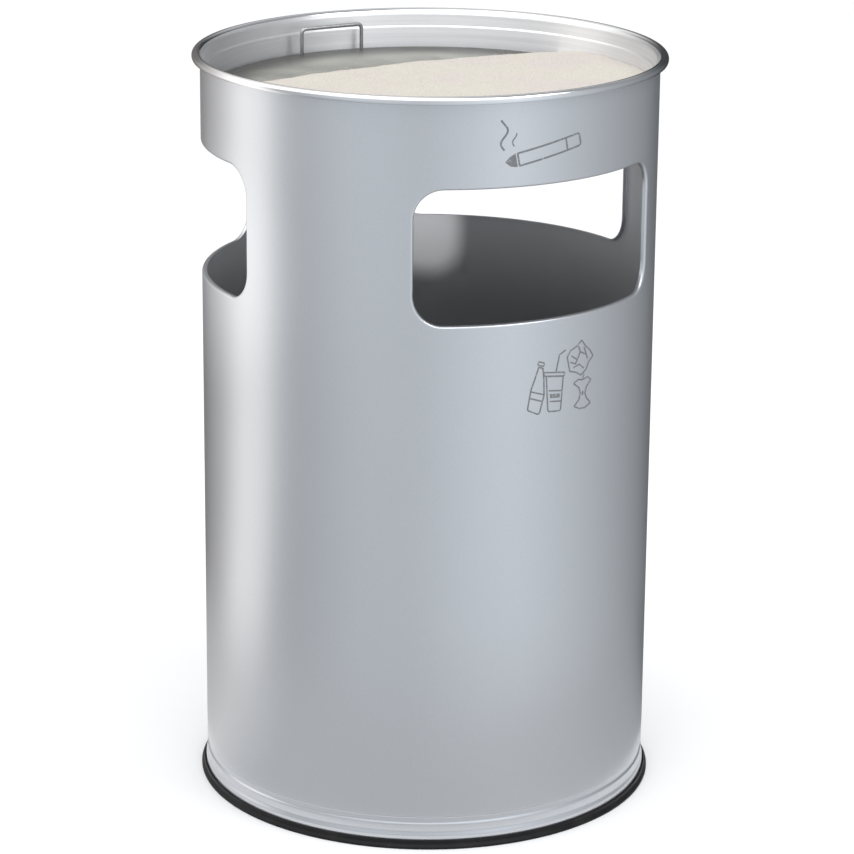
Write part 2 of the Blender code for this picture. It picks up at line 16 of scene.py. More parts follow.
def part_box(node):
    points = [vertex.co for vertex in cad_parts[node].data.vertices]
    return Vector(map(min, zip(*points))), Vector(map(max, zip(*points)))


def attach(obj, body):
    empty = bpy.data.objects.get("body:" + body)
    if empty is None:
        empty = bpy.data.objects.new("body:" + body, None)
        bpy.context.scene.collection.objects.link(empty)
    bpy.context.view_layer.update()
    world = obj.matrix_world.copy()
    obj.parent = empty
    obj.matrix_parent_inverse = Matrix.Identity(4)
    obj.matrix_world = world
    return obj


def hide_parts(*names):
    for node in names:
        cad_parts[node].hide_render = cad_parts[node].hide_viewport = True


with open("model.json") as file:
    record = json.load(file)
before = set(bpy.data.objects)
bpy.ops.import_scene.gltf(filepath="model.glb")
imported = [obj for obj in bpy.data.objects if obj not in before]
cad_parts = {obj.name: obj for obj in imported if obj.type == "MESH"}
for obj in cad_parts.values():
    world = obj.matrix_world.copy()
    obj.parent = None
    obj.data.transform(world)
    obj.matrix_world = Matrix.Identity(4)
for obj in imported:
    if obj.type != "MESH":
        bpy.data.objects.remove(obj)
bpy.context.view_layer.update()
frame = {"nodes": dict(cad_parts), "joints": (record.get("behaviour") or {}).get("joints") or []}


# ---- sizes read from the frame -----------------------------------------------------------
def reach(node, low=-1.0, high=1.0):
    """Largest distance from the bin's axis of a node's points between two heights."""
    points = [v.co for v in frame["nodes"][node].data.vertices]
    return max(math.hypot(p.x, p.y) for p in points if low <= p.z <= high)


HEIGHT, BODY_TOP, BASE_TOP, SIEVE_TOP, SAND_TOP, LINER_TOP = (
    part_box(node)[1].z for node in
    ("ash_tray", "body_shell", "base_plate", "sieve_plate", "sand", "liner_wall"))
TRAY_UNDER, BODY_FOOT, SIEVE_FOOT, SAND_FOOT, LINER_FOOT = (
    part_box(node)[0].z for node in ("ash_tray", "body_shell", "sieve_plate", "sand", "liner_wall"))
RIM_R = reach("ash_tray")
BODY_R = reach("body_shell", BODY_TOP - 0.01)
FLARE_R = reach("body_shell")
RING_R = reach("floor_ring")
SIEVE_R = reach("sieve_plate")
LINER_R = reach("liner_wall", high=LINER_FOOT + 0.01)
BAIL_AXIS = next(j["pos_m"][2] for j in frame["joints"] if j["name"] == "bail_hinge")

# ---- sizes that the design sets ----------------------------------------------------------
SHEET = 0.0012            # sheet of the drum and the base plate
GAP = 0.0003              # clearance between pieces that touch
FACET_ROOM = 0.0005       # more clearance, between round walls that lie one in the other
EDGE_BREAK = 0.0003       # bevel on a cut sheet's edges
FLARE = FLARE_R - BODY_R  # how far the drum's foot flares out, and how deep its groove is
FLARE_TOP = 0.0105
GROOVE = (0.0205, 0.0285)
PRESS_SLOPE = 0.0020

OPENING_COUNT = 3
OPENING_FIRST = 32.8      # middle of the first opening
OPENING_SPAN = 73.0
OPENING_LOW = 0.458
OPENING_HIGH = 0.571
OPENING_CORNER = 0.025
LIP_BEND = 0.0022
LIP_DEPTH = 0.0042
SEAM_POST = 1             # the drum's welded seam is on the post after this opening, at the back
SEAM_STEP = 0.0004
SEAM_RISE = 0.0008        # the seam's step is this wide,
SEAM_FADE = 0.030         # and the sheet comes back over this width

TRAY_SHEET = 0.0009
TRAY_STEP_DROP = 0.0150
TRAY_STEP = 0.0012
HOOK_ROOM = 0.0005        # how far the tray's hooked rim reaches in from the drum's outside
CORNER_BEND = 0.0025
SIEVE_SHEET = 0.0010
SIEVE_HOLE_R = 0.0015
SIEVE_PITCH = 0.0050
SIEVE_FIELD_R = 0.1765    # the holes' middles lie within this radius
SIEVE_SHADE = 0.036       # width of the ring of painted shade at the edge of the holes' field
DRAIN_CIRCLE_R = 0.120
DRAIN_R = 0.005
DRAIN_COUNT = 4

HANDLE_ANGLE = -150.5
HANDLE_R = 0.1815
HANDLE_WIDTH = 0.060
HANDLE_RISE = 0.0245
HANDLE_WIRE_R = 0.00165
HANDLE_BEND = 0.0040
LEG_TAIL = 0.0035
LEG_HOLE_R = HANDLE_WIRE_R + 0.0004
NUT_R = 0.0040

SAND_CENTRE = Vector((0.3105, -0.505))
SAND_EDGE_R = 0.687       # the sand's free edge is an arc of this radius round SAND_CENTRE
SAND_SETTLED = 0.0014     # how far the flat sand lies under its highest point
SAND_SLOPE = 0.026        # width of the slope at the free edge
SAND_HOLLOW = 0.0011      # depth of the hollow along the tray's wall,
HOLLOW_FADE = 0.008       # and how fast it ends
EDGE_WAVES = ((9, 0.4, 1.7, 0.0040), (45, 2.0, 3.1, 0.0012))  # length, place, place, height
GRAIN_COUNT = 1100
GRAIN_SPREAD = 0.006
GRAIN_SIZES = (0.00022, 0.00045)

LINER_SHEET = 0.0010
CURL_R = 0.0027
RIM_WIRE_R = 0.0015
BEAD_DROP = 0.0700
BEAD_HALF = 0.004
BEAD_RISE = 0.002
BOTTOM_RISE = 0.008
BOTTOM_FLAT_R = 0.120
BAIL_WIRE_R = 0.0025
BAIL_OUTSIDE = 0.0025
BAIL_STRAIGHT = 0.0115
BAIL_TAIL = 0.0130
BAIL_BEND = 0.0050
EAR_SHEET = 0.0020
EAR_HALF = 0.0170
EAR_TOP_HALF = 0.0085
EAR_DROP = 0.040
EAR_SHOULDER_DROP = 0.018
RIVET_DROP = 0.030
RIVET_SPACING = 0.020
RIVET_HEAD_R = 0.0040
RIVET_DOME = 0.0015
RIVET_SHANK_R = 0.0020

BODY_IN_R = BODY_R - SHEET
TRAY_WALL_R = BODY_IN_R - GAP - TRAY_SHEET / 2 - FACET_ROOM
TRAY_LOW_R = TRAY_WALL_R - TRAY_STEP
SAND_R = TRAY_LOW_R - TRAY_SHEET / 2 - GAP
LINER_IN_R = LINER_R - LINER_SHEET
CURL_MID_R = LINER_R + CURL_R - LINER_SHEET / 2
BAIL_R = CURL_MID_R + BAIL_OUTSIDE
EAR_OUT_R = LINER_IN_R - GAP - FACET_ROOM

SEGMENTS = 288            # steps of a large round wall
SHARP_DEG = 38.0          # edges bent more than this are shaded sharp


# ---- geometry helpers --------------------------------------------------------------------
def around(angle_deg, radius, z):
    """A point on the bin at an angle from the front towards the right."""
    a = math.radians(angle_deg)
    return Vector((radius * math.sin(a), -radius * math.cos(a), z))


def smooth(x):
    x = min(1.0, max(0.0, x))
    return x * x * (3 - 2 * x)


def arc(centre, radius, start_deg, end_deg, steps):
    """Points of an arc in a plane, angles from its first axis towards its second."""
    turn = end_deg - start_deg
    angles = [math.radians(start_deg + turn * k / steps) for k in range(steps + 1)]
    return [Vector((centre[0] + radius * math.cos(a), centre[1] + radius * math.sin(a)))
            for a in angles]


def fillet(points, radii, steps=6):
    """Round the corners of a closed run of points; a radius of 0 keeps a corner or an end."""
    rounded = []
    for i, (point, radius) in enumerate(zip(points, radii)):
        corner = Vector(point)
        if radius == 0:
            rounded.append(corner)
            continue
        before = (Vector(points[i - 1]) - corner).normalized()
        after = (Vector(points[(i + 1) % len(points)]) - corner).normalized()
        half = before.angle(after) / 2
        centre = corner + (before + after).normalized() * radius / math.sin(half)
        start = corner + before * radius / math.tan(half) - centre
        end = corner + after * radius / math.tan(half) - centre
        rounded += [centre + start.slerp(end, k / steps) * radius for k in range(steps + 1)]
    return rounded


def stroke(points, width, closed=False, sharpest=0.3):
    """Left and right border of a line of a given width; sharp corners are kept short."""
    ways = [(b - a).normalized() for a, b in zip(points, points[1:] + points[:1])]
    if not closed:
        ways[-1] = ways[-2]
    pairs = []
    for i, (p, after) in enumerate(zip(points, ways)):
        before = ways[i - 1] if i or closed else after
        normal = Vector((-before.y - after.y, before.x + after.x)).normalized()
        offset = normal * width / 2 / max(sharpest, normal.dot(Vector((-before.y, before.x))))
        pairs.append((p + offset, p - offset))
    return pairs


def sheet_outline(line, thickness):
    """Closed outline of sheet metal from its middle line, with its free ends rounded."""
    half = thickness / 2

    def cap(end, inner):
        out = (end - inner).normalized()
        side = Vector((-out.y, out.x))
        return [end + out * half * (0.5 * math.cos(a) - 0.5) - side * half * math.sin(a)
                for a in (math.pi * k / 4 for k in range(-2, 3))]

    left, right = map(list, zip(*stroke(line, thickness)))
    outline = left[:-1] + cap(line[-1], line[-2]) + right[-2::-1]
    if line[0].x > 1e-9:
        outline = outline[1:-1] + cap(line[0], line[1])
    return outline


def bridged(first, second):
    """Quads between two closed rings of as many points."""
    turned = [(k, (k + 1) % len(first)) for k in range(len(first))]
    return [[first[k], first[m], second[m], second[k]] for k, m in turned]


def spun(outline, segments=SEGMENTS):
    """An (r, z) outline turned once round the axis; ends on the axis are poles."""
    verts, rings = [], []
    for r, z in outline:
        if r < 1e-9:
            rings.append([len(verts)] * segments)
            verts.append(Vector((0, 0, z)))
        else:
            rings.append(list(range(len(verts), len(verts) + segments)))
            verts += [around(360 * k / segments, r, z) for k in range(segments)]
    pairs = list(zip(rings, rings[1:]))
    if outline[0][0] > 1e-9:
        pairs.append((rings[-1], rings[0]))
    faces = [list(dict.fromkeys(face)) for pair in pairs for face in bridged(*pair)]
    return verts, faces


def filled(loops, inside=()):
    """Triangles between flat closed loops of points, with more points inside."""
    points, edges = [], []
    for loop in loops:
        base = len(points)
        points += loop
        edges += [(base + k, base + (k + 1) % len(loop)) for k in range(len(loop))]
    points += inside
    flat, _, triangles, *_ = geometry.delaunay_2d_cdt(points, edges, [], 2, 1e-7)
    return flat, [list(t) for t in triangles]


def sheet_disc(radius, z, holes, line):
    """Middle surface of a plate: a flat disc with holes, and a turned line that goes on from it."""
    rim = [around(360 * k / SEGMENTS, radius, 0).xy for k in range(SEGMENTS)]
    flat, faces = filled([rim] + holes)
    verts = [Vector((p.x, p.y, z)) for p in flat]
    base = len(verts)
    ring_verts, ring_faces = spun([(0.0, 1.0), (radius, z), *line])
    faces += [[base + i for i in f] for f in ring_faces if 0 not in f]
    return verts + ring_verts, faces


def round_hole(centre, radius, sides):
    """A loop of points round a hole in a plate."""
    return arc(centre, radius, 0, 360, sides)[:-1]


def new_object(name, data):
    obj = bpy.data.objects.new(name, data)
    bpy.context.scene.collection.objects.link(obj)
    return obj


def shade(mesh, sharp_deg=SHARP_DEG):
    mesh.shade_smooth()
    mesh.set_sharp_from_angle(angle=math.radians(sharp_deg))


def clean_mesh(name, shape, sharp_deg=SHARP_DEG):
    """A smooth-shaded mesh with its faces pointing out and no doubled points."""
    verts, faces = shape
    mesh = bpy.data.meshes.new(name)
    bm = bmesh.new()
    made = [bm.verts.new(v) for v in verts]
    for f in faces:
        bm.faces.new([made[i] for i in f])
    bmesh.ops.remove_doubles(bm, verts=bm.verts, dist=2e-6)
    loose = [v for v in bm.verts if not v.link_faces]
    bmesh.ops.delete(bm, geom=loose, context="VERTS")
    bmesh.ops.recalc_face_normals(bm, faces=bm.faces)
    bm.to_mesh(mesh)
    bm.free()
    shade(mesh, sharp_deg)
    return mesh


def sheet_mesh(name, shape, thickness, offset, edge_round=0.0):
    """Give a middle or outer surface its thickness, and break its cut edges."""
    source = clean_mesh(name, shape)
    helper = new_object(name, source)
    solid = helper.modifiers.new("sheet", "SOLIDIFY")
    solid.thickness = thickness
    solid.offset = offset
    solid.use_even_offset = True
    if edge_round:
        bevel = helper.modifiers.new("edges", "BEVEL")
        bevel.width = edge_round
        bevel.segments = 2
        bevel.limit_method = "ANGLE"
        bevel.angle_limit = math.radians(60)
        helper.modifiers.new("normals", "WEIGHTED_NORMAL").keep_sharp = True
    bpy.context.view_layer.update()
    graph = bpy.context.evaluated_depsgraph_get()
    mesh = bpy.data.meshes.new_from_object(helper.evaluated_get(graph))
    mesh.name = name
    bpy.data.objects.remove(helper)
    bpy.data.meshes.remove(source)
    if not edge_round:
        shade(mesh)
    return mesh


# ---- materials ---------------------------------------------------------------------------
def add_node(tree, kind, *inputs, **settings):
    """A new shader node; an input is (socket, value), and another node's output is linked."""
    made = tree.nodes.new(f"ShaderNode{kind}")
    for name, value in settings.items():
        setattr(made, name, value)
    for socket, value in inputs:
        if isinstance(value, bpy.types.NodeSocket):
            tree.links.new(value, made.inputs[socket])
        else:
            made.inputs[socket].default_value = value
    return made


class Finish:
    """A Principled material under construction: small helpers for its nodes."""

    def __init__(self, name, color, roughness, metallic=0.0, **sockets):
        self.mat = bpy.data.materials.new(name)
        self.mat.use_nodes = True
        self.mat.diffuse_color = (*color, 1.0)
        self.tree = self.mat.node_tree
        self.shader = self.tree.nodes["Principled BSDF"].inputs
        sockets.update(Base_Color=(*color, 1.0), Roughness=roughness, Metallic=metallic)
        for socket, value in sockets.items():
            self.shader[socket.replace("_", " ")].default_value = value
        self.place = self.node("TexCoord")["Object"]

    def node(self, kind, *inputs, **settings):
        return add_node(self.tree, kind, *inputs, **settings).outputs

    def drive(self, socket, out):
        self.tree.links.new(out, self.shader[socket])

    def noise(self, scale, detail=2.0, rough=0.5, stretch=None):
        place = self.place
        if stretch:
            place = self.node("Mapping", ("Vector", place), ("Scale", stretch))["Vector"]
        return self.node("TexNoise", ("Vector", place), ("Scale", scale), ("Detail", detail),
                         ("Roughness", rough))["Fac"]

    def cells(self, scale, output="Color"):
        return self.node("TexVoronoi", ("Vector", self.place), ("Scale", scale))[output]

    def gray(self, color):
        return self.node("RGBToBW", ("Color", color))["Val"]

    def remap(self, value, from_low, from_high, low=0.0, high=1.0):
        return self.node("MapRange", ("Value", value), ("From Min", from_low),
                         ("From Max", from_high), ("To Min", low), ("To Max", high),
                         interpolation_type="SMOOTHSTEP")["Result"]

    def mix(self, factor, first, second):
        first, second = ((*v, 1.0) if isinstance(v, tuple) else v for v in (first, second))
        return self.node("Mix", ("Factor", factor), (6, first), (7, second),
                         data_type="RGBA")[2]

    def color(self, factor, first, second):
        self.drive("Base Color", self.mix(factor, first, second))

    def roughness(self, value):
        self.drive("Roughness", value)

    def bump(self, height, distance, strength):
        inputs = [("Height", height), ("Distance", distance), ("Strength", strength)]
        if self.shader["Normal"].links:
            inputs.append(("Normal", self.shader["Normal"].links[0].from_socket))
        self.drive("Normal", self.node("Bump", *inputs)["Normal"])

    def orange_peel(self):
        """The faint waves of powder put on with a spray gun."""
        self.bump(self.noise(300, 1.0), 0.00001, 0.12)


def tint(color, factor):
    return tuple(c * factor for c in color)


def silver_coat(name, color, roughness):
    """Metallic powder coat: orange peel, fine flakes and a little uneven gloss."""
    f = Finish(name, color, roughness, 0.80, Coat_Weight=0.06, Coat_Roughness=0.25)
    flakes = f.remap(f.noise(900), 0.3, 0.7)
    clean = f.mix(flakes, tint(color, 0.98), tint(color, 1.02))
    f.color(f.remap(f.noise(5.0, 3.0), 0.45, 0.75, 0.0, 0.30), clean, tint(color, 0.93))
    f.orange_peel()
    return f.mat


def inner_coat(name, color):
    """The same coat inside the drum: dull overspray, with painted shade that darkens it below the
    openings.
    """
    f = Finish(name, color, 0.50, 0.50)
    height = f.node("SeparateXYZ", ("Vector", f.place))["Z"]
    # painted shade: the colour darkens towards the bottom of the drum, standing in for light that
    # falls off below the openings
    painted_shade_low = f.remap(height, OPENING_LOW - 0.10, OPENING_LOW + 0.05, 1.0, 0.0)
    coat_with_painted_shade = f.mix(painted_shade_low, color, tint(color, 0.42))
    f.color(f.remap(f.noise(9.0, 3.0), 0.45, 0.75, 0.0, 0.25), coat_with_painted_shade, tint(color, 0.7))
    f.orange_peel()
    return f.mat


def spun_coat(name, color, roughness, metallic=0.88, spread=0.85):
    """Satin sheet spun on a lathe: fine rings that spread its gloss up and down the wall."""
    f = Finish(name, color, roughness, metallic, Anisotropic=spread, Anisotropic_Rotation=0.25)
    f.drive("Tangent", f.node("Tangent", direction_type="RADIAL", axis="Z")["Tangent"])
    rings = f.noise(1.0, 3.0, 0.6, (4, 4, 900))
    f.color(f.remap(rings, 0.35, 0.65), tint(color, 0.95), tint(color, 1.03))
    f.roughness(f.remap(rings, 0.3, 0.7, roughness - 0.05, roughness + 0.06))
    f.bump(rings, 0.00002, 0.4)
    return f.mat


def sieve_zinc(name, color):
    """Dull zinc with water stains, a film of sand dust, and painted shade darkening it towards the
    edge.
    """
    f = Finish(name, color, 0.48, 0.55)
    stains = f.noise(28, 4.0, 0.6)
    dust = f.noise(700, 3.0, 0.7)
    worn = f.mix(f.remap(stains, 0.35, 0.65), tint(color, 0.88), tint(color, 1.10))
    dusty = f.mix(f.remap(dust, 0.60, 0.72, 0.0, 0.8), worn, (0.52, 0.49, 0.42))
    flat = f.node("VectorMath", (0, f.place), (1, (1, 1, 0)), operation="MULTIPLY")["Vector"]
    radius = f.node("VectorMath", (0, flat), operation="LENGTH")["Value"]
    # painted shade: the plate is darkened near the tray's wall, where the gap to the wall lies in
    # shadow
    edge = f.remap(radius, SIEVE_FIELD_R - SIEVE_SHADE, SIEVE_FIELD_R, 0.0, 0.82)
    f.color(edge, dusty, (0.05, 0.05, 0.045))
    f.roughness(f.remap(stains, 0.3, 0.7, 0.40, 0.58))
    f.bump(dust, 0.00004, 0.5)
    return f.mat


def bright_wire(name, color, roughness):
    """Drawn wire: short streaks in its gloss."""
    f = Finish(name, color, roughness, 1.0)
    streaks = f.noise(1.0, 2.0, 0.5, (500, 500, 60))
    f.color(f.remap(streaks, 0.3, 0.7), tint(color, 0.85), tint(color, 1.08))
    f.roughness(f.remap(streaks, 0.3, 0.7, roughness - 0.06, roughness + 0.08))
    f.bump(streaks, 0.000005, 0.2)
    return f.mat


def galvanised(name, color):
    """Hot-dip zinc with its spangle of flat crystals."""
    f = Finish(name, color, 0.40, 0.92)
    crystals = f.gray(f.cells(75))
    frost = f.noise(420, 3.0, 0.6)
    f.color(f.remap(crystals, 0.15, 0.85), tint(color, 0.80), tint(color, 1.18))
    gloss = f.remap(crystals, 0.15, 0.85, 0.30, 0.48)
    blur = f.remap(frost, 0.3, 0.7, -0.05, 0.05)
    f.roughness(f.node("Math", (0, gloss), (1, blur), operation="ADD")["Value"])
    f.bump(frost, 0.00003, 0.4)
    return f.mat


def sand_finish(name, color):
    """Silica sand: cream grains with pink, grey and brown ones among them."""
    f = Finish(name, color, 0.95)
    grains = f.gray(f.cells(1500))
    patches = f.remap(f.noise(16, 3.0), 0.35, 0.65)
    cream = f.mix(patches, (0.565, 0.535, 0.465), (0.555, 0.505, 0.475))
    darker = f.mix(f.remap(grains, 0.60, 0.95, 0.0, 0.55), cream, (0.32, 0.27, 0.22))
    f.color(f.remap(grains, 0.35, 0.10, 0.0, 0.5), darker, (0.69, 0.67, 0.62))
    f.bump(f.cells(1500, "Distance"), 0.0004, 0.7)
    f.bump(f.noise(220, 4.0, 0.6), 0.0006, 0.5)
    return f.mat


def rubber(name, color):
    f = Finish(name, color, 0.42, Specular_IOR_Level=0.15)
    dust = f.noise(45, 4.0, 0.65)
    f.color(f.remap(dust, 0.45, 0.80), (0.009, 0.009, 0.010), (0.022, 0.021, 0.020))
    f.roughness(f.remap(dust, 0.3, 0.7, 0.36, 0.52))
    f.bump(f.noise(800), 0.00004, 0.5)
    return f.mat


def print_finish(name, color):
    """Screen print, a little worn where it has rubbed."""
    f = Finish(name, color, 0.5, 0.15)
    rub = f.noise(420, 4.0, 0.7)
    f.color(f.remap(rub, 0.50, 0.72), (0.16, 0.165, 0.175), (0.34, 0.35, 0.37))
    f.roughness(f.remap(rub, 0.3, 0.7, 0.42, 0.60))
    return f.mat


def floor_finish(name, color):
    f = Finish(name, color, 0.75, Specular_IOR_Level=0.2)
    f.color(f.remap(f.noise(3.0, 3.0), 0.3, 0.7), (0.962, 0.962, 0.964), (0.970, 0.970, 0.970))
    return f.mat


FINISHES = {
    "silver_coat": silver_coat("silver_coat", (0.560, 0.575, 0.600), 0.274),
    "inner_coat": inner_coat("inner_coat", (0.80, 0.81, 0.83)),
    "black_rubber": rubber("black_rubber", (0.020, 0.020, 0.021)),
    "tray_coat": spun_coat("tray_coat", (0.86, 0.865, 0.88), 0.42),
    "bead_coat": spun_coat("bead_coat", (0.74, 0.745, 0.76), 0.13, 1.0, 0.0),
    "sieve_zinc": sieve_zinc("sieve_zinc", (0.34, 0.34, 0.31)),
    "steel_wire": bright_wire("steel_wire", (0.38, 0.385, 0.39), 0.34),
    "nut_steel": bright_wire("nut_steel", (0.36, 0.35, 0.34), 0.38),
    "sand": sand_finish("sand_grains", (0.56, 0.53, 0.46)),
    "galvanised": galvanised("galvanised", (0.55, 0.57, 0.585)),
    "bail_steel": bright_wire("bail_steel", (0.48, 0.49, 0.50), 0.32),
    "decal_print": print_finish("decal_print", (0.17, 0.175, 0.185)),
}


def add(name, data, slot, body, *replaced):
    """Put a mesh, a curve or (points, faces) into the scene as a piece that rides on a body."""
    if isinstance(data, tuple):
        data = clean_mesh(name, data)
    obj = new_object(name, data)
    data.materials.clear()
    data.materials.append(FINISHES[slot])
    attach(obj, body)
    if replaced:
        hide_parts(*replaced)
    return data


def add_wire(name, points, radius, slot, body, node, cyclic=False):
    """Round wire along a list of points, as a piece."""
    curve = bpy.data.curves.new(name, "CURVE")
    curve.dimensions = "3D"
    curve.bevel_depth = radius
    curve.bevel_resolution = 5
    curve.use_fill_caps = not cyclic
    spline = curve.splines.new("POLY")
    spline.points.add(len(points) - 1)
    for target, p in zip(spline.points, points):
        target.co = (*p, 1.0)
    spline.use_cyclic_u = cyclic
    add(name, curve, slot, body, node)


# ---- the drum ----------------------------------------------------------------------------
CORNERS = ((-1, 1), (1, 1), (1, -1), (-1, -1))
ARC_HALF = 7              # steps of half an opening's corner
CORNER_FILL = 4
STRAIGHT_STEPS = 46
POST_STEPS = 36
BEND_STEPS = 6
SEAM_COLUMNS = (-0.0010, -0.0008, -0.0006, -0.0004, -0.0002, 0.0, 0.0003)
SEAM_CLEAR = 0.0015       # no other column of points this near the seam


def opening_loop(inset, depth):
    """One opening's outline on the flat pattern, moved in by inset and set back by depth."""
    half = math.radians(OPENING_SPAN / 2) * BODY_R - inset
    low, high = OPENING_LOW + inset, OPENING_HIGH - inset
    corner = OPENING_CORNER - inset
    loop = []
    for n, (sx, sz) in enumerate(CORNERS):
        centre = (sx * (half - corner), (high if sz > 0 else low) - sz * corner)
        curve = arc(centre, corner, 180 - 90 * n, 90 - 90 * n, 2 * ARC_HALF)
        loop += [(p.x, p.y, depth) for p in curve]
        if sx * sz < 0:
            s, z, _ = loop[-1]
            loop += [(s - 2 * s * k / STRAIGHT_STEPS, z, depth) for k in range(1, STRAIGHT_STEPS)]
    return loop


def foot_depth(z):
    """How far the drum's wall lies in at a height: the flared foot and the pressed groove."""
    low, high = GROOVE
    flare = 1 - smooth((z - FLARE_TOP) / (2 * PRESS_SLOPE))
    groove = smooth((z - low) / PRESS_SLOPE) - smooth((z - high + PRESS_SLOPE) / PRESS_SLOPE)
    return FLARE * (groove - flare)


def seam_depth(s):
    """The welded seam: the sheet steps in and comes back over a hand's width."""
    if s < 0:
        return SEAM_STEP * smooth(1 + s / SEAM_RISE)
    return SEAM_STEP * (1 - smooth(s / SEAM_FADE))


def drum_surface():
    """The drum's outer surface, laid out flat as (arc length, height, depth) and rolled up."""
    sector = 2 * math.pi / OPENING_COUNT * BODY_R
    loop = opening_loop(-LIP_BEND, 0.0)
    half = max(p[0] for p in loop)
    corner = OPENING_CORNER + LIP_BEND
    low, high = OPENING_LOW - LIP_BEND, OPENING_HIGH + LIP_BEND
    legs = [corner * k / ARC_HALF for k in range(ARC_HALF + 1)]

    foot = [BODY_FOOT + (GROOVE[1] - BODY_FOOT) * k / 40 for k in range(41)]
    wall = [GROOVE[1] + (low - GROOVE[1]) * k / 10 for k in range(1, 10)]
    frame_rows = [low + leg for leg in legs] + [high - leg for leg in reversed(legs)]
    rows = foot + wall + frame_rows + [high + (BODY_TOP - high) * k / 3 for k in (1, 2, 3)]

    straight = half - corner
    middle = [-straight + 2 * straight * k / STRAIGHT_STEPS for k in range(1, STRAIGHT_STEPS)]
    opening_columns = [-half + leg for leg in legs] + middle + [half - leg for leg in legs[::-1]]
    post = sector - 2 * half
    post_columns = [half + post * k / POST_STEPS for k in range(1, POST_STEPS)]
    seam = half + post / 2

    verts, index, faces = [], {}, []
    total = sector * OPENING_COUNT

    def at(s, z, depth):
        key = (round(s % total, 6) % round(total, 6), round(z, 6), round(depth, 6))
        if key not in index:
            index[key] = len(verts)
            verts.append((s % total, z, depth))
        return index[key]

    for n in range(OPENING_COUNT):
        shift = n * sector + half
        columns = opening_columns + post_columns + [sector - half]
        if n == SEAM_POST:
            near = [c for c in columns if abs(c - seam) > SEAM_CLEAR]
            columns = sorted(near + [seam + u for u in SEAM_COLUMNS])
        for left, right in zip(columns, columns[1:]):
            for z0, z1 in zip(rows, rows[1:]):
                if right <= half + 1e-6 and z0 > low - 1e-6 and z1 < high + 1e-6:
                    continue
                d0, d1 = foot_depth(z0), foot_depth(z1)
                faces.append([at(left + shift, z0, d0), at(right + shift, z0, d0),
                              at(right + shift, z1, d1), at(left + shift, z1, d1)])

        # the corners between the opening's curve and the square hole left in the grid
        side = 2 * ARC_HALF + 1
        run = STRAIGHT_STEPS - 1
        starts = (0, side + run, 2 * side + run, 3 * side + 2 * run)
        for first, (sx, sz) in zip(starts, CORNERS):
            curve = [Vector(p[:2]) for p in loop[first:first + side]]
            tip = Vector((sx * half, high if sz > 0 else low))
            outer = [curve[0].lerp(tip, k / ARC_HALF) for k in range(ARC_HALF + 1)]
            outer += [tip.lerp(curve[-1], k / ARC_HALF) for k in range(1, ARC_HALF + 1)]
            for j in range(CORNER_FILL):
                for k in range(side - 1):
                    ring = [curve[i].lerp(outer[i], t / CORNER_FILL)
                            for i, t in ((k, j), (k + 1, j), (k + 1, j + 1), (k, j + 1))]
                    face = list(dict.fromkeys(at(p.x + shift, p.y, 0.0) for p in ring))
                    if len(face) > 2:
                        faces.append(face)

        # the lip that turns in round the opening
        rings = [loop]
        for k in range(1, BEND_STEPS + 1):
            a = math.pi / 2 * k / BEND_STEPS
            rings.append(opening_loop(-LIP_BEND * (1 - math.sin(a)), LIP_BEND * (1 - math.cos(a))))
        rings += [opening_loop(0.0, LIP_BEND + (LIP_DEPTH - LIP_BEND) * k / 2) for k in (1, 2)]
        rings = [[at(p[0] + shift, p[1], p[2]) for p in ring] for ring in rings]
        for pair in zip(rings, rings[1:]):
            faces += bridged(*pair)

    start = OPENING_FIRST - math.degrees(half / BODY_R)
    seam_s = SEAM_POST * sector + half + seam
    rolled = [around(start + math.degrees(s / BODY_R), BODY_R - depth - seam_depth(s - seam_s), z)
              for s, z, depth in verts]
    return rolled, faces


def make_drum():
    mesh = sheet_mesh("drum_wall", drum_surface(), SHEET, -1.0, EDGE_BREAK)
    add("drum_wall", mesh, "silver_coat", "drum", "body_shell")
    mesh.materials.append(FINISHES["inner_coat"])
    for face in mesh.polygons:
        outward = face.center.xy.normalized()
        face.material_index = int(face.normal.xy.dot(outward) < -0.6)


def make_base():
    """Base plate with drain holes, a pressed ring groove and a turned-down flange."""
    wall_r = BODY_IN_R - FLARE - GAP - FACET_ROOM - SHEET / 2
    top, foot = BASE_TOP - SHEET / 2, 0.012
    flat_r, groove_in, groove_out, slope, depth, bend = 0.148, 0.150, 0.182, 0.006, 0.003, 0.004
    line = fillet([(flat_r, top), (groove_in, top), (groove_in + slope, top - depth),
                   (groove_out - slope, top - depth), (groove_out, top), (wall_r, top),
                   (wall_r, foot)], [0, bend, bend, bend, bend, bend / 2, 0])
    holes = [round_hole(around(360 * (n + 0.5) / DRAIN_COUNT, DRAIN_CIRCLE_R, 0), DRAIN_R, 32)
             for n in range(DRAIN_COUNT)]
    mesh = sheet_mesh("drum_base", sheet_disc(flat_r, top, holes, line[1:]), SHEET, 0.0)
    add("drum_base", mesh, "inner_coat", "drum", "base_plate")


def make_floor_ring():
    """Rubber ring: a foot lip, a neck and the collar that holds the drum's edge."""
    slot_out = FLARE_R + 2 * GAP
    slot_in = FLARE_R - SHEET - 3 * GAP
    slot_floor = BODY_FOOT - GAP
    wall, lip_top, neck, top = 0.0018, 0.0018, 0.0042, 0.0070
    corners = [(RING_R, 0.0), (RING_R, lip_top), (RING_R - wall, lip_top + wall),
               (FLARE_R + wall, neck), (FLARE_R + wall, top), (slot_out, top + 2 * GAP),
               (slot_out, slot_floor), (slot_in, slot_floor), (slot_in, top),
               (slot_in - wall, top), (slot_in - wall, 0.0)]
    radii = [0.0006, 0.0006, 0.0003, 0.0004, 0.0006, 0.0003, 0, 0, 0.0004, 0.0004, 0.0004]
    mesh = clean_mesh("rubber_ring", spun(fillet(corners, radii, 4)), 50)
    add("rubber_ring", mesh, "black_rubber", "drum", "floor_ring")


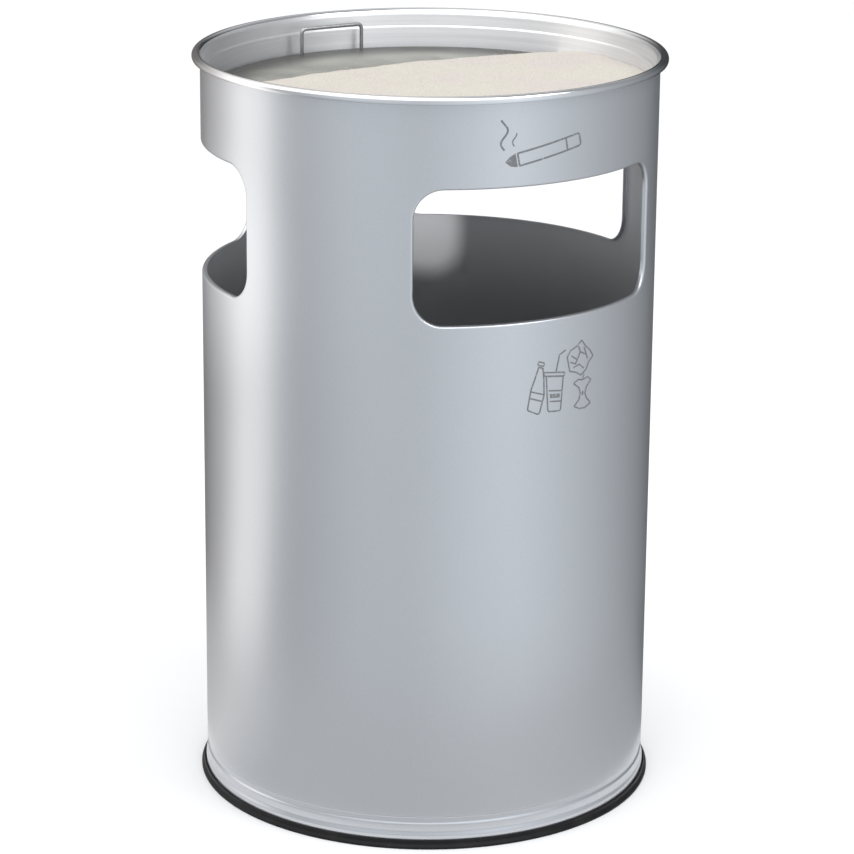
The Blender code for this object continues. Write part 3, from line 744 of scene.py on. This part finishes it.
# ---- the ash tray ------------------------------------------------------------------------
def make_tray():
    """Spun dish with a soft step in its wall and a rim curled over the drum's edge."""
    floor = TRAY_UNDER + TRAY_SHEET / 2
    step = HEIGHT - TRAY_STEP_DROP
    inner_r = BODY_R - HOOK_ROOM
    crown_r = (RIM_R - TRAY_SHEET / 2 + inner_r) / 2
    crown = crown_r - inner_r
    crown_z = HEIGHT - TRAY_SHEET / 2 - crown
    line = fillet([(0, floor), (TRAY_LOW_R, floor), (TRAY_LOW_R, step - TRAY_STEP),
                   (TRAY_WALL_R, step), (TRAY_WALL_R, BODY_TOP - 0.0002),
                   (inner_r, crown_z + 0.0012)], [0, CORNER_BEND, 0.0009, 0.0009, 0.002, 0], 8)
    line = line[:-1] + arc((crown_r, crown_z), crown, 155, -25, 26)
    line += [Vector((crown_r + out, HEIGHT - drop))
             for out, drop in ((0.0016, 0.0062), (0.0002, 0.0058))]
    shape = spun(sheet_outline(line, TRAY_SHEET))
    mesh = add("tray_dish", shape, "tray_coat", "tray", "ash_tray")
    mesh.materials.append(FINISHES["bead_coat"])
    bead_foot = BODY_TOP - 0.006
    for face in mesh.polygons:
        on_bead = face.center.xy.length > inner_r and face.center.z > bead_foot
        face.material_index = int(on_bead)


def handle_frame(angle):
    """Middle of a handle's two legs, and the direction across it."""
    outward = around(angle, 1.0, 0.0)
    across = Vector((outward.y, -outward.x, 0.0))
    return outward * math.sqrt(HANDLE_R ** 2 - (HANDLE_WIDTH / 2) ** 2), across


HANDLES = {"back": handle_frame(HANDLE_ANGLE), "front": handle_frame(HANDLE_ANGLE + 180)}
HANDLE_FEET = [middle + across * side * HANDLE_WIDTH / 2
               for middle, across in HANDLES.values() for side in (-1, 1)]


def make_sieve():
    """Perforated plate with an edge turned down."""
    top = SIEVE_TOP - SIEVE_SHEET / 2
    edge_r = SIEVE_R - SIEVE_SHEET / 2
    flat_r = edge_r - CORNER_BEND - 0.001
    row_step = SIEVE_PITCH * math.sqrt(3) / 2
    rows = int(SIEVE_FIELD_R / row_step)
    holes = [round_hole(foot, LEG_HOLE_R, 16) for foot in HANDLE_FEET]
    for row in range(-rows, rows + 1):
        for column in range(-2 * rows, 2 * rows + 1):
            centre = Vector(((column + 0.5 * (row % 2)) * SIEVE_PITCH, row * row_step))
            if centre.length < SIEVE_FIELD_R:
                holes.append(round_hole(centre, SIEVE_HOLE_R, 12))
    line = fillet([(flat_r, top), (edge_r, top), (edge_r, SIEVE_FOOT)], [0, CORNER_BEND, 0])
    mesh = sheet_mesh("sieve_disc", sheet_disc(flat_r, top, holes, line[1:]), SIEVE_SHEET, 0.0)
    add("sieve_disc", mesh, "sieve_zinc", "sieve", "sieve_plate")


def make_handles():
    low = Vector((0, 0, SIEVE_TOP - SIEVE_SHEET - LEG_TAIL))
    high = Vector((0, 0, SIEVE_TOP + HANDLE_RISE - HANDLE_WIRE_R))
    for side, (middle, across) in HANDLES.items():
        left, right = (middle + across * k * HANDLE_WIDTH / 2 for k in (-1, 1))
        path = fillet([left + low, left + high, right + high, right + low],
                      [0, HANDLE_BEND, HANDLE_BEND, 0], 10)
        add_wire(f"{side}_handle", path, HANDLE_WIRE_R, "steel_wire", "sieve",
                 f"sieve_handle_{side}")


def make_nuts():
    """Push-on nuts under the sieve, one on each leg."""
    hole, thickness, rim = HANDLE_WIRE_R + GAP, 0.0006, 0.0009
    outline = fillet([(hole, -thickness), (hole, 0.0), (NUT_R, 0.0), (NUT_R, -rim),
                      (NUT_R - thickness, -rim), (NUT_R - rim, -thickness)],
                     [0, 0, 0.0004, 0, 0, 0], 4)
    verts, faces = spun(outline, 32)
    for number, foot in enumerate(HANDLE_FEET, 1):
        place = foot + Vector((0, 0, SIEVE_TOP - SIEVE_SHEET - GAP))
        shape = ([v + place for v in verts], faces)
        add(f"sieve_nut_{number}", shape, "nut_steel", "sieve", f"handle_nut_{number}")


def sand_border(steps_wall, steps_edge):
    """The sand's outline: along the tray's wall, and back along its wavering free edge."""
    reach_out = SAND_CENTRE.length
    along = (SAND_R ** 2 - SAND_EDGE_R ** 2 + reach_out ** 2) / (2 * reach_out)
    unit = SAND_CENTRE.normalized()
    spread = math.acos(along / SAND_R)
    border = []
    for k in range(steps_wall):
        p = unit * SAND_R
        p.rotate(Matrix.Rotation(-spread + 2 * spread * k / steps_wall, 2))
        border.append(p)
    side = Vector((-unit.y, unit.x)) * math.sin(spread) * SAND_R
    start, end = unit * along + side - SAND_CENTRE, unit * along - side - SAND_CENTRE
    for k in range(steps_edge):
        t = k / steps_edge
        p = start.copy()
        p.rotate(Matrix.Rotation(start.angle(end) * t, 2))
        waver = sum(noise.noise(Vector((turns * t, y, z))) * height
                    for turns, y, z, height in EDGE_WAVES)
        border.append(SAND_CENTRE + p * (1 + waver * math.sin(math.pi * t) / SAND_EDGE_R))
    return border


def sand_level(p):
    """Height of the sand at a point: level, rippled, and feathered out at its free edge."""
    to_edge = SAND_EDGE_R - (p - SAND_CENTRE).length
    to_wall = SAND_R - p.length
    full = SAND_TOP - SAND_SETTLED - SAND_FOOT
    place = Vector((p.x, p.y, 0.0))
    dunes = noise.noise(place * 22) * 0.0011
    dunes += noise.noise(place * 60 + Vector((3, 1, 0))) * 0.0006
    grit = noise.noise(place * 260) * 0.00022
    heap = smooth(to_edge / SAND_SLOPE) ** 0.8
    hollow = SAND_HOLLOW * math.exp(-to_wall / HOLLOW_FADE)
    rise = 0.0004 + full * heap + (dunes - hollow) * heap + grit * min(1.0, heap * 4)
    return min(SAND_FOOT + rise, SAND_TOP - 0.0001)


def make_sand():
    border = sand_border(220, 150)
    centre = sum(border, Vector((0.0, 0.0))) / len(border)
    rings, count = 90, len(border)
    verts, faces = [Vector((*p, SAND_FOOT)) for p in border], [list(range(count))]
    for k in range(rings):
        shrink = 1 - (k / rings) ** 1.4
        points = [centre.lerp(p, shrink) for p in border]
        verts += [Vector((*p, sand_level(p))) for p in points]
    starts = range(0, rings * count, count)
    for k in starts:
        faces += bridged(range(k, k + count), range(k + count, k + 2 * count))
    last = rings * count
    faces += [[last + k, last + (k + 1) % count, len(verts)] for k in range(count)]
    verts.append(Vector((*centre, sand_level(centre))))
    add("sand_fill", clean_mesh("sand_fill", (verts, faces), 75), "sand", "sieve", "sand")


def make_grains():
    """Loose grains on the sieve along the sand's free edge."""
    rng = random.Random(11)
    verts, faces = [], []
    edge = sand_border(1, 400)[1:]
    tips = [Vector(p) for p in ((1, 0, 0), (-1, 0, 0), (0, 1, 0), (0, -1, 0), (0, 0, 1),
                                (0, 0, -1))]
    sides = ((0, 2, 4), (2, 1, 4), (1, 3, 4), (3, 0, 4), (2, 0, 5), (1, 2, 5), (3, 1, 5), (0, 3, 5))
    for _ in range(GRAIN_COUNT):
        p = rng.choice(edge)
        out = (p - SAND_CENTRE).normalized()
        p = p + out * (rng.expovariate(1 / GRAIN_SPREAD) - 0.001)
        size = rng.uniform(*GRAIN_SIZES)
        if p.length > SIEVE_R - 0.004:
            continue
        base = len(verts)
        axis_turn = rng.uniform(0, 6.28)
        turn = Matrix.Rotation(axis_turn, 3, Vector((rng.random(), rng.random(), rng.random())))
        place = Vector((p.x, p.y, SIEVE_TOP + size * 0.9))
        verts += [place + turn @ (tip * size * rng.uniform(0.8, 1.25)) for tip in tips]
        faces += [[base + i for i in side] for side in sides]
    add("sand_grains", clean_mesh("sand_grains", (verts, faces), 20), "sand", "sieve")


# ---- the inner bucket --------------------------------------------------------------------
def make_bucket():
    """Wall with a pressed bead and a rolled rim, and a bottom with its edge turned down."""
    wall_r = LINER_R - LINER_SHEET / 2
    curl_z = LINER_TOP - CURL_R - LINER_SHEET / 2
    bead = LINER_TOP - BEAD_DROP
    line = [Vector((wall_r, LINER_FOOT)), Vector((wall_r, bead - 2 * BEAD_HALF))]
    for k in range(-10, 11):
        rise = BEAD_RISE * (0.5 + 0.5 * math.cos(math.pi * k / 10))
        line.append(Vector((wall_r + rise, bead + 1.3 * BEAD_HALF * k / 10)))
    line += arc((CURL_MID_R, curl_z), CURL_R, 180, -110, 24)
    shape = spun(sheet_outline(line, LINER_SHEET))
    add("bucket_wall", shape, "galvanised", "liner", "liner_wall")

    steps = 192
    ring = [around(360 * n / steps, CURL_MID_R, curl_z) for n in range(steps)]
    add_wire("bucket_rim_wire", ring, RIM_WIRE_R, "steel_wire", "liner", "liner_rim_wire", True)

    edge, drop, bend = LINER_IN_R - 2 * GAP - LINER_SHEET / 2, 0.002, 0.006
    top = LINER_FOOT + BOTTOM_RISE
    dish = fillet([(0, top), (BOTTOM_FLAT_R, top), (BOTTOM_FLAT_R + 4 * drop, top - drop),
                   (edge, top - drop), (edge, LINER_FOOT)], [0, bend, bend, bend / 3, 0])
    shape = spun(sheet_outline(dish, LINER_SHEET))
    add("bucket_bottom", shape, "galvanised", "liner", "liner_base")


def ear_shape(side):
    """Ear plate on the inside of the wall, rolled to it, with the bail's hole."""
    low, shoulder = LINER_TOP - EAR_DROP, LINER_TOP - EAR_SHOULDER_DROP
    high, pivot = BAIL_AXIS + EAR_TOP_HALF, Vector((0, BAIL_AXIS))
    outline = fillet([(-EAR_HALF, low), (EAR_HALF, low), (EAR_HALF, shoulder),
                      (EAR_TOP_HALF, high), (-EAR_TOP_HALF, high), (-EAR_HALF, shoulder)],
                     [0.004, 0.004, 0.006, 0.006, 0.006, 0.006])
    hole = round_hole(pivot, BAIL_WIRE_R + 0.0005, 32)
    grid = [Vector((x * 0.002, low + 0.002 + z * 0.003)) for x in range(-8, 9) for z in range(20)]
    flat, triangles = filled((outline, hole), [p for p in grid if (p - pivot).length > 0.005])
    verts = [around(90 * side + math.degrees(p.x / EAR_OUT_R), EAR_OUT_R, p.y) for p in flat]
    return verts, [t[::side] for t in triangles]


def make_ears():
    for name, side in (("left", -1), ("right", 1)):
        mesh = sheet_mesh(f"bucket_ear_{name}", ear_shape(side), EAR_SHEET, -side, EDGE_BREAK)
        add(f"bucket_ear_{name}", mesh, "galvanised", "liner", f"bail_ear_{name}")

    inside = LINER_IN_R - EAR_OUT_R + EAR_SHEET + GAP
    outside = LINER_SHEET + GAP
    head = [Vector((RIVET_HEAD_R * math.sin(a), RIVET_DOME * math.cos(a)))
            for a in (math.pi / 16 * k for k in range(9))]
    outline = [(p.x, outside + p.y) for p in head]
    outline += [(RIVET_SHANK_R, outside), (RIVET_SHANK_R, -inside)]
    outline += [(p.x, -inside - p.y) for p in reversed(head)]
    verts, faces = spun(outline, 32)
    places = [(side, across) for side in (-90, 90) for across in (-0.5, 0.5)]
    for number, (side, across) in enumerate(places, 1):
        angle = side + math.degrees(across * RIVET_SPACING / LINER_IN_R)
        out = around(angle, 1.0, 0.0)
        place = Matrix.Translation(around(angle, LINER_IN_R, LINER_TOP - RIVET_DROP))
        turn = place @ Vector((0, 0, 1)).rotation_difference(out).to_matrix().to_4x4()
        shape = ([turn @ v for v in verts], faces)
        add(f"bucket_rivet_{number}", shape, "nut_steel", "liner", f"ear_rivet_{number}")


def make_bail():
    """Half-round wire bail lying on the rim, its ends through the ears."""
    start = math.degrees(math.asin(BAIL_STRAIGHT / BAIL_R))
    steps, cut = 90, 4
    sweep = [around(90 - start - (180 - 2 * start) * k / steps, BAIL_R, 0.0)
             for k in range(cut, steps - cut + 1)]
    tip = Vector((EAR_OUT_R - BAIL_TAIL, 0, 0))
    end = fillet([sweep[0], Vector((BAIL_R, 0, 0)), tip], [0, BAIL_BEND, 0], 10)[1:]
    path = end[::-1] + sweep + [Vector((-p.x, p.y, 0)) for p in end]
    path = [p + Vector((0, 0, BAIL_AXIS)) for p in path]
    add_wire("bucket_bail", path, BAIL_WIRE_R, "bail_steel", "bail", "liner_bail")


# ---- the printed pictograms --------------------------------------------------------------
PRINT_LIFT = 0.00004
PRINT_FILM = 0.00010
MM = 0.001
FINE_STEP = 2.001         # a sign's outlines bend round the drum in steps of this, in millimetres


def wrap_prints(name, shapes, centre_deg, centre_z, scale, tilt_deg):
    """Thin raised strips, and patches of no width, on the drum round a sign's middle."""
    verts, faces = [], []
    turn = Matrix.Rotation(math.radians(tilt_deg), 2)

    def both(p):
        p = turn @ p * (scale * MM)
        angle = centre_deg + math.degrees(p.x / BODY_R)
        base = len(verts)
        for lift in (PRINT_LIFT, PRINT_LIFT + PRINT_FILM):
            verts.append(around(angle, BODY_R + lift, centre_z + p.y))
        return base, base + 1

    for points, width, closed in shapes:
        if width:
            strip = [(both(a), both(b)) for a, b in stroke(points, width, closed, 0.5)]
            ends = strip[1:] + strip[:1] if closed else strip[1:]
            for ((a0, a1), (b0, b1)), ((c0, c1), (d0, d1)) in zip(strip, ends):
                faces += [[a1, b1, d1, c1], [a0, c0, d0, b0], [a0, a1, c1, c0], [b1, b0, d0, d1]]
            if not closed:
                faces += [[a0, b0, b1, a1] for (a0, a1), (b0, b1) in (strip[0], strip[-1])]
        else:
            loop = [both(p) for p in points]
            faces += [[p[0] for p in loop], [p[1] for p in reversed(loop)]]
            faces += [[a[0], a[1], b[1], b[0]] for a, b in zip(loop, loop[1:] + loop[:1])]
    return clean_mesh(name, (verts, faces), 60)


def resample(points):
    """Extra points on the long stretches, so that a shape bends round the drum."""
    fine = []
    for a, b in zip(points, points[1:]):
        count = max(1, int((b - a).length / FINE_STEP))
        fine += [a.lerp(b, k / count) for k in range(count)]
    return fine + [points[-1]]


def ring_of(points, radii):
    loop = fillet(points, radii, 5)
    return resample(loop + [loop[0]])[:-1]


def wave(start, end, swing, turns, steps):
    """A wavy line between two points."""
    start, end = Vector(start), Vector(end)
    side = Vector((start.y - end.y, end.x - start.x)).normalized()
    return [start.lerp(end, k / steps) + side * swing * math.sin(2 * math.pi * turns * k / steps)
            for k in range(steps + 1)]


def smoking_sign():
    """A cigarette with its filter, an ember at the lower end and a thread of smoke."""
    line = 1.3
    body = ring_of([(-20, -4.5), (31, -4.5), (31, 4.5), (-20, 4.5)], [0.5, 2, 2, 0.5])
    ember = [(-21.5, -5), (-21.5, 5), (-26, 3.4), (-30, 0.4), (-26.5, -3.4)]
    smoke = wave((-29, 9), (-25.5, 30), 2.6, 1.15, 28)
    wisp = wave((-21.5, 10), (-19.5, 19), 1.4, 0.8, 16)
    return [(body, line, True), ([Vector((19, -4.5)), Vector((19, 4.5))], line, False),
            ([Vector(p) for p in ember], 0, True), (smoke, 1.4, False), (wisp, 0.9, False)]


def litter_sign():
    """A bottle, a cup with a straw, a ball of crumpled paper and an apple core."""
    line = 1.2
    offset = Vector((6.5, 0.0))
    shapes = []

    def moved(points):
        return [Vector(p) + offset for p in points]

    def ring(points, *radii):
        shapes.append((ring_of(moved(points), radii * (len(points) // len(radii))), line, True))

    def run(*points):
        shapes.append((resample(moved(points)), line, False))

    def patch(points):
        shapes.append((moved(points), 0, True))

    # cup, lid and straw
    ring([(-24, 4), (-8, 2), (-10, -26), (-22, -25)], 1, 1, 2, 2)
    ring([(-26.5, 7.5), (-6.5, 5), (-7, 2), (-26, 4.5)], 1)
    run((-15, 6.5), (-12, 20), (-6, 23))
    run((-21.5, -8), (-9.5, -9.5))
    run((-20.5, -17), (-10, -18))
    patch([(-20.5, -10.8), (-10.8, -11.8), (-11.2, -15), (-20, -14.2)])
    # crumpled paper ball
    ball = []
    for k in range(13):
        a = 2 * math.pi * k / 13
        r = 12.5 + 1.7 * math.sin(5.1 * a + 0.8) + 0.9 * math.cos(9 * a)
        ball.append((8.5 + r * math.cos(a), 13.5 + r * math.sin(a)))
    ring(ball, 0.6)
    run((0, 17), (6, 13), (9, 19), (15, 16))
    run((2, 7), (8, 9), (13, 5))
    run((13, 22), (17, 12))
    run((-1, 12), (4, 10), (6, 13))
    run((9, 19), (7, 24))
    # apple core
    top = [(2.5, -6), (7.5, -3.5), (12, -4.5), (17.5, -3), (21.5, -6)]
    waist = [(16.5, -11), (15, -16), (17, -20.5)]
    foot = [(21.5, -25), (15, -28), (9, -27.5), (3.5, -25)]
    back = [(8.5, -20.5), (10, -15.5), (8.5, -10.5)]
    ring(top + waist + foot + back, 0.8)
    run((12, -4.5), (13.5, 0))
    patch([(12.5 + math.cos(a), -15.5 + 1.9 * math.sin(a))
           for a in (math.pi * k / 5 for k in range(10))])
    # bottle leaning on the cup
    body = [(-40.5, -21.5), (-30, -26.5), (-25.8, -11), (-26.2, 2)]
    neck = [(-27.2, 11), (-31, 12.5), (-34, 4), (-37.5, -5)]
    ring(body + neck, 2, 2, 3, 3, 0.5, 0.5, 3, 3)
    ring([(-26.8, 12.5), (-31.8, 14.3), (-31, 17), (-26, 15.2)], 0.6)
    run((-38.5, -12), (-27, -16))
    run((-37, -7), (-26, -10.5))
    return shapes


def make_signs():
    for name, shapes, angle, height, scale, tilt in (
            ("smoking_sign", smoking_sign(), 28.2, 0.5985, 1.16, 11.0),
            ("litter_sign", litter_sign(), 35.4, 0.4055, 1.05, 0.0)):
        add(name, wrap_prints(name, shapes, angle, height, scale, tilt), "decal_print", "drum")


# ---- studio ------------------------------------------------------------------------------
# How bright the tent is at azimuths from the front to the right: on the ground round the bin,
# at the foot of the wall, at the height of the bin's rim, and overhead.
APRON_GLOW = (
    (-180, 0.20), (-132, 0.48), (-112, 0.64), (-93, 0.85), (-77, 0.76), (-60, 0.61), (-5, 0.58),
    (30, 0.65), (60, 0.60), (98, 0.44), (112, 0.32), (130, 0.08), (180, 0.04),
)
LOW_GLOW = (
    (-180, 0.06), (-144, 0.12), (-118, 0.50), (-98, 1.34), (-84, 1.22), (-71, 0.52), (-60, 0.48),
    (-30, 0.67), (-5, 0.67), (20, 0.85), (42, 0.92), (63, 0.77), (97, 0.47), (121, 0.26),
    (144, 0.06), (180, 0.05),
)
HIGH_GLOW = (
    (-180, 0.10), (-144, 0.21), (-118, 0.74), (-98, 1.65), (-84, 1.50), (-71, 0.66), (-60, 0.57),
    (-36, 0.80), (-18, 0.78), (-3, 0.68), (12, 0.80), (38, 1.10), (60, 0.80), (85, 0.54),
    (121, 0.27), (144, 0.06), (180, 0.06),
)
UPPER_GLOW = (
    (-180, 0.90), (-140, 1.00), (-110, 1.90), (-84, 2.20), (-60, 1.50), (-20, 1.70), (20, 1.90),
    (45, 1.50), (70, 0.80), (95, 0.45), (130, 0.35), (155, 0.50), (180, 0.90),
)
APRON = (0.42, 0.64)      # the ground's light fades into the wall's between these radii,
RIM_LEVEL = (0.0, 0.385)  # the foot's into the rim's between these heights,
OVERHEAD = (0.95, 1.60)   # and the rim's into the overhead light between these
TENT_WALL = (
    (0.23, 0.002), (0.75, 0.010), (1.15, 0.04), (1.15, 0.90), (2.2, 2.6), (2.2, 3.2), (0.01, 3.3),
)
TENT_STEPS = 72
TENT_PEAK = 2.5           # the ramps' colours are brightness over this

FLOOR_R = 14.0
SKY_COLOR = (0.98, 0.99, 1.0, 1.0)
SKY_STRENGTH = 1.03
CAMERA_PLACE = (0.0, -2.8, 1.185)
CAMERA_LENS = 141.0
CAMERA_PITCH = 17.3
CAMERA_ROLL = 0.5


def tent_light(azimuth, level, tinge):
    """Colour of the light: a little warm on the left, and cooler from the front to the right."""
    cool = tinge * (-0.03 + 0.085 * smooth((azimuth + 95) / 45))
    return (level * (1 - cool) / TENT_PEAK, level / TENT_PEAK, level * (1 + cool) / TENT_PEAK, 1)


def make_tent():
    """Walls of light round the bin that only reflections see, brighter and darker by azimuth."""
    verts = [around(360 * k / TENT_STEPS, r, z) for r, z in TENT_WALL for k in range(TENT_STEPS)]
    rings = [range(base, base + TENT_STEPS) for base in range(0, len(verts), TENT_STEPS)]
    mesh = bpy.data.meshes.new("light_tent")
    mesh.from_pydata(verts, [], [f for pair in zip(rings, rings[1:]) for f in bridged(*pair)])
    tent = new_object("light_tent", mesh)
    for ray in ("camera", "diffuse", "transmission", "volume_scatter", "shadow"):
        setattr(tent, f"visible_{ray}", False)

    mat = bpy.data.materials.new("tent_glow")
    mat.use_nodes = True
    mat.node_tree.nodes.clear()

    def node(kind, *inputs, **settings):
        return add_node(mat.node_tree, kind, *inputs, **settings)

    place = node("TexCoord").outputs["Object"]
    parts = node("SeparateXYZ", ("Vector", place)).outputs
    front = node("Math", (0, parts["Y"]), (1, -1.0), operation="MULTIPLY").outputs["Value"]
    angle = node("Math", (0, parts["X"]), (1, front), operation="ARCTAN2").outputs["Value"]
    share = node("MapRange", ("Value", angle), ("From Min", -math.pi), ("From Max", math.pi))
    flat = node("CombineXYZ", ("X", parts["X"]), ("Y", parts["Y"])).outputs["Vector"]
    radius = node("VectorMath", (0, flat), operation="LENGTH").outputs["Value"]

    def glow(levels, tinge=1.0):
        ramp = node("ValToRGB", ("Fac", share.outputs["Result"]))
        stops = ramp.color_ramp.elements
        for azimuth, _ in levels[1:-1]:
            stops.new((azimuth + 180) / 360)
        for stop, (azimuth, level) in zip(stops, levels):
            stop.color = tent_light(azimuth, level, tinge)
        return ramp.outputs["Color"]

    def fade(value, span, first, second):
        part = node("MapRange", ("Value", value), ("From Min", span[0]), ("From Max", span[1]))
        return node("Mix", ("Factor", part.outputs["Result"]), (6, first), (7, second),
                    data_type="RGBA").outputs[2]

    wall = fade(parts["Z"], RIM_LEVEL, glow(LOW_GLOW), glow(HIGH_GLOW))
    walls = fade(parts["Z"], OVERHEAD, wall, glow(UPPER_GLOW, 0.4))
    mixed = fade(radius, APRON, glow(APRON_GLOW, 0.5), walls)
    light = node("Emission", ("Color", mixed), ("Strength", TENT_PEAK))
    node("OutputMaterial", ("Surface", light.outputs["Emission"]))
    mesh.materials.append(mat)


def make_floor():
    mesh = bpy.data.meshes.new("floor")
    bm = bmesh.new()
    bmesh.ops.create_circle(bm, cap_ends=True, segments=96, radius=FLOOR_R)
    bm.to_mesh(mesh)
    bm.free()
    mesh.materials.append(floor_finish("studio_floor", (0.965, 0.965, 0.965)))
    new_object("floor", mesh)


def make_lamp(name, kind, watts, place, aim, unseen_by, **settings):
    """A lamp at a place that shines towards a point."""
    lamp = bpy.data.lights.new(name, kind)
    lamp.energy = watts
    for setting, value in settings.items():
        setattr(lamp, setting, value)
    obj = new_object(name, lamp)
    obj.location = place
    obj.rotation_euler = (Vector(aim) - obj.location).to_track_quat("-Z", "Y").to_euler()
    setattr(obj, f"visible_{unseen_by}", False)


def make_lights():
    """Two soft lamps, a narrow one for the patch of light inside the drum, and a pale sky."""
    make_lamp("overhead", "AREA", 14, (-0.4, -0.5, 2.6), (0, 0, 0.4), "camera",
              shape="RECTANGLE", size=2.0, size_y=1.6)
    make_lamp("side_light", "AREA", 12, around(62, 1.55, 2.35), (0, 0, 0.6), "camera", size=1.1)
    make_lamp("beam", "SPOT", 140, (-0.85, -1.34, 0.69), (-0.11, 0.07, 0.46), "glossy",
              spot_size=math.radians(7), spot_blend=0.5, shadow_soft_size=0.05)
    world = bpy.data.worlds.new("studio")
    bpy.context.scene.world = world
    world.use_nodes = True
    sky = world.node_tree.nodes["Background"].inputs
    sky["Color"].default_value = SKY_COLOR
    sky["Strength"].default_value = SKY_STRENGTH
    bpy.context.scene.view_settings.view_transform = "Standard"


def make_camera():
    data = bpy.data.cameras.new("camera")
    data.lens = CAMERA_LENS
    data.clip_start, data.clip_end = 0.1, 60
    camera = new_object("camera", data)
    camera.location = CAMERA_PLACE
    pitch = Matrix.Rotation(math.radians(90 - CAMERA_PITCH), 3, "X")
    camera.rotation_euler = (pitch @ Matrix.Rotation(math.radians(CAMERA_ROLL), 3, "Z")).to_euler()
    bpy.context.scene.camera = camera


for make in (make_drum, make_base, make_floor_ring, make_tray, make_sieve, make_handles, make_nuts,
             make_sand, make_grains, make_bucket, make_ears, make_bail, make_signs, make_tent,
             make_floor, make_lights, make_camera):
    make()
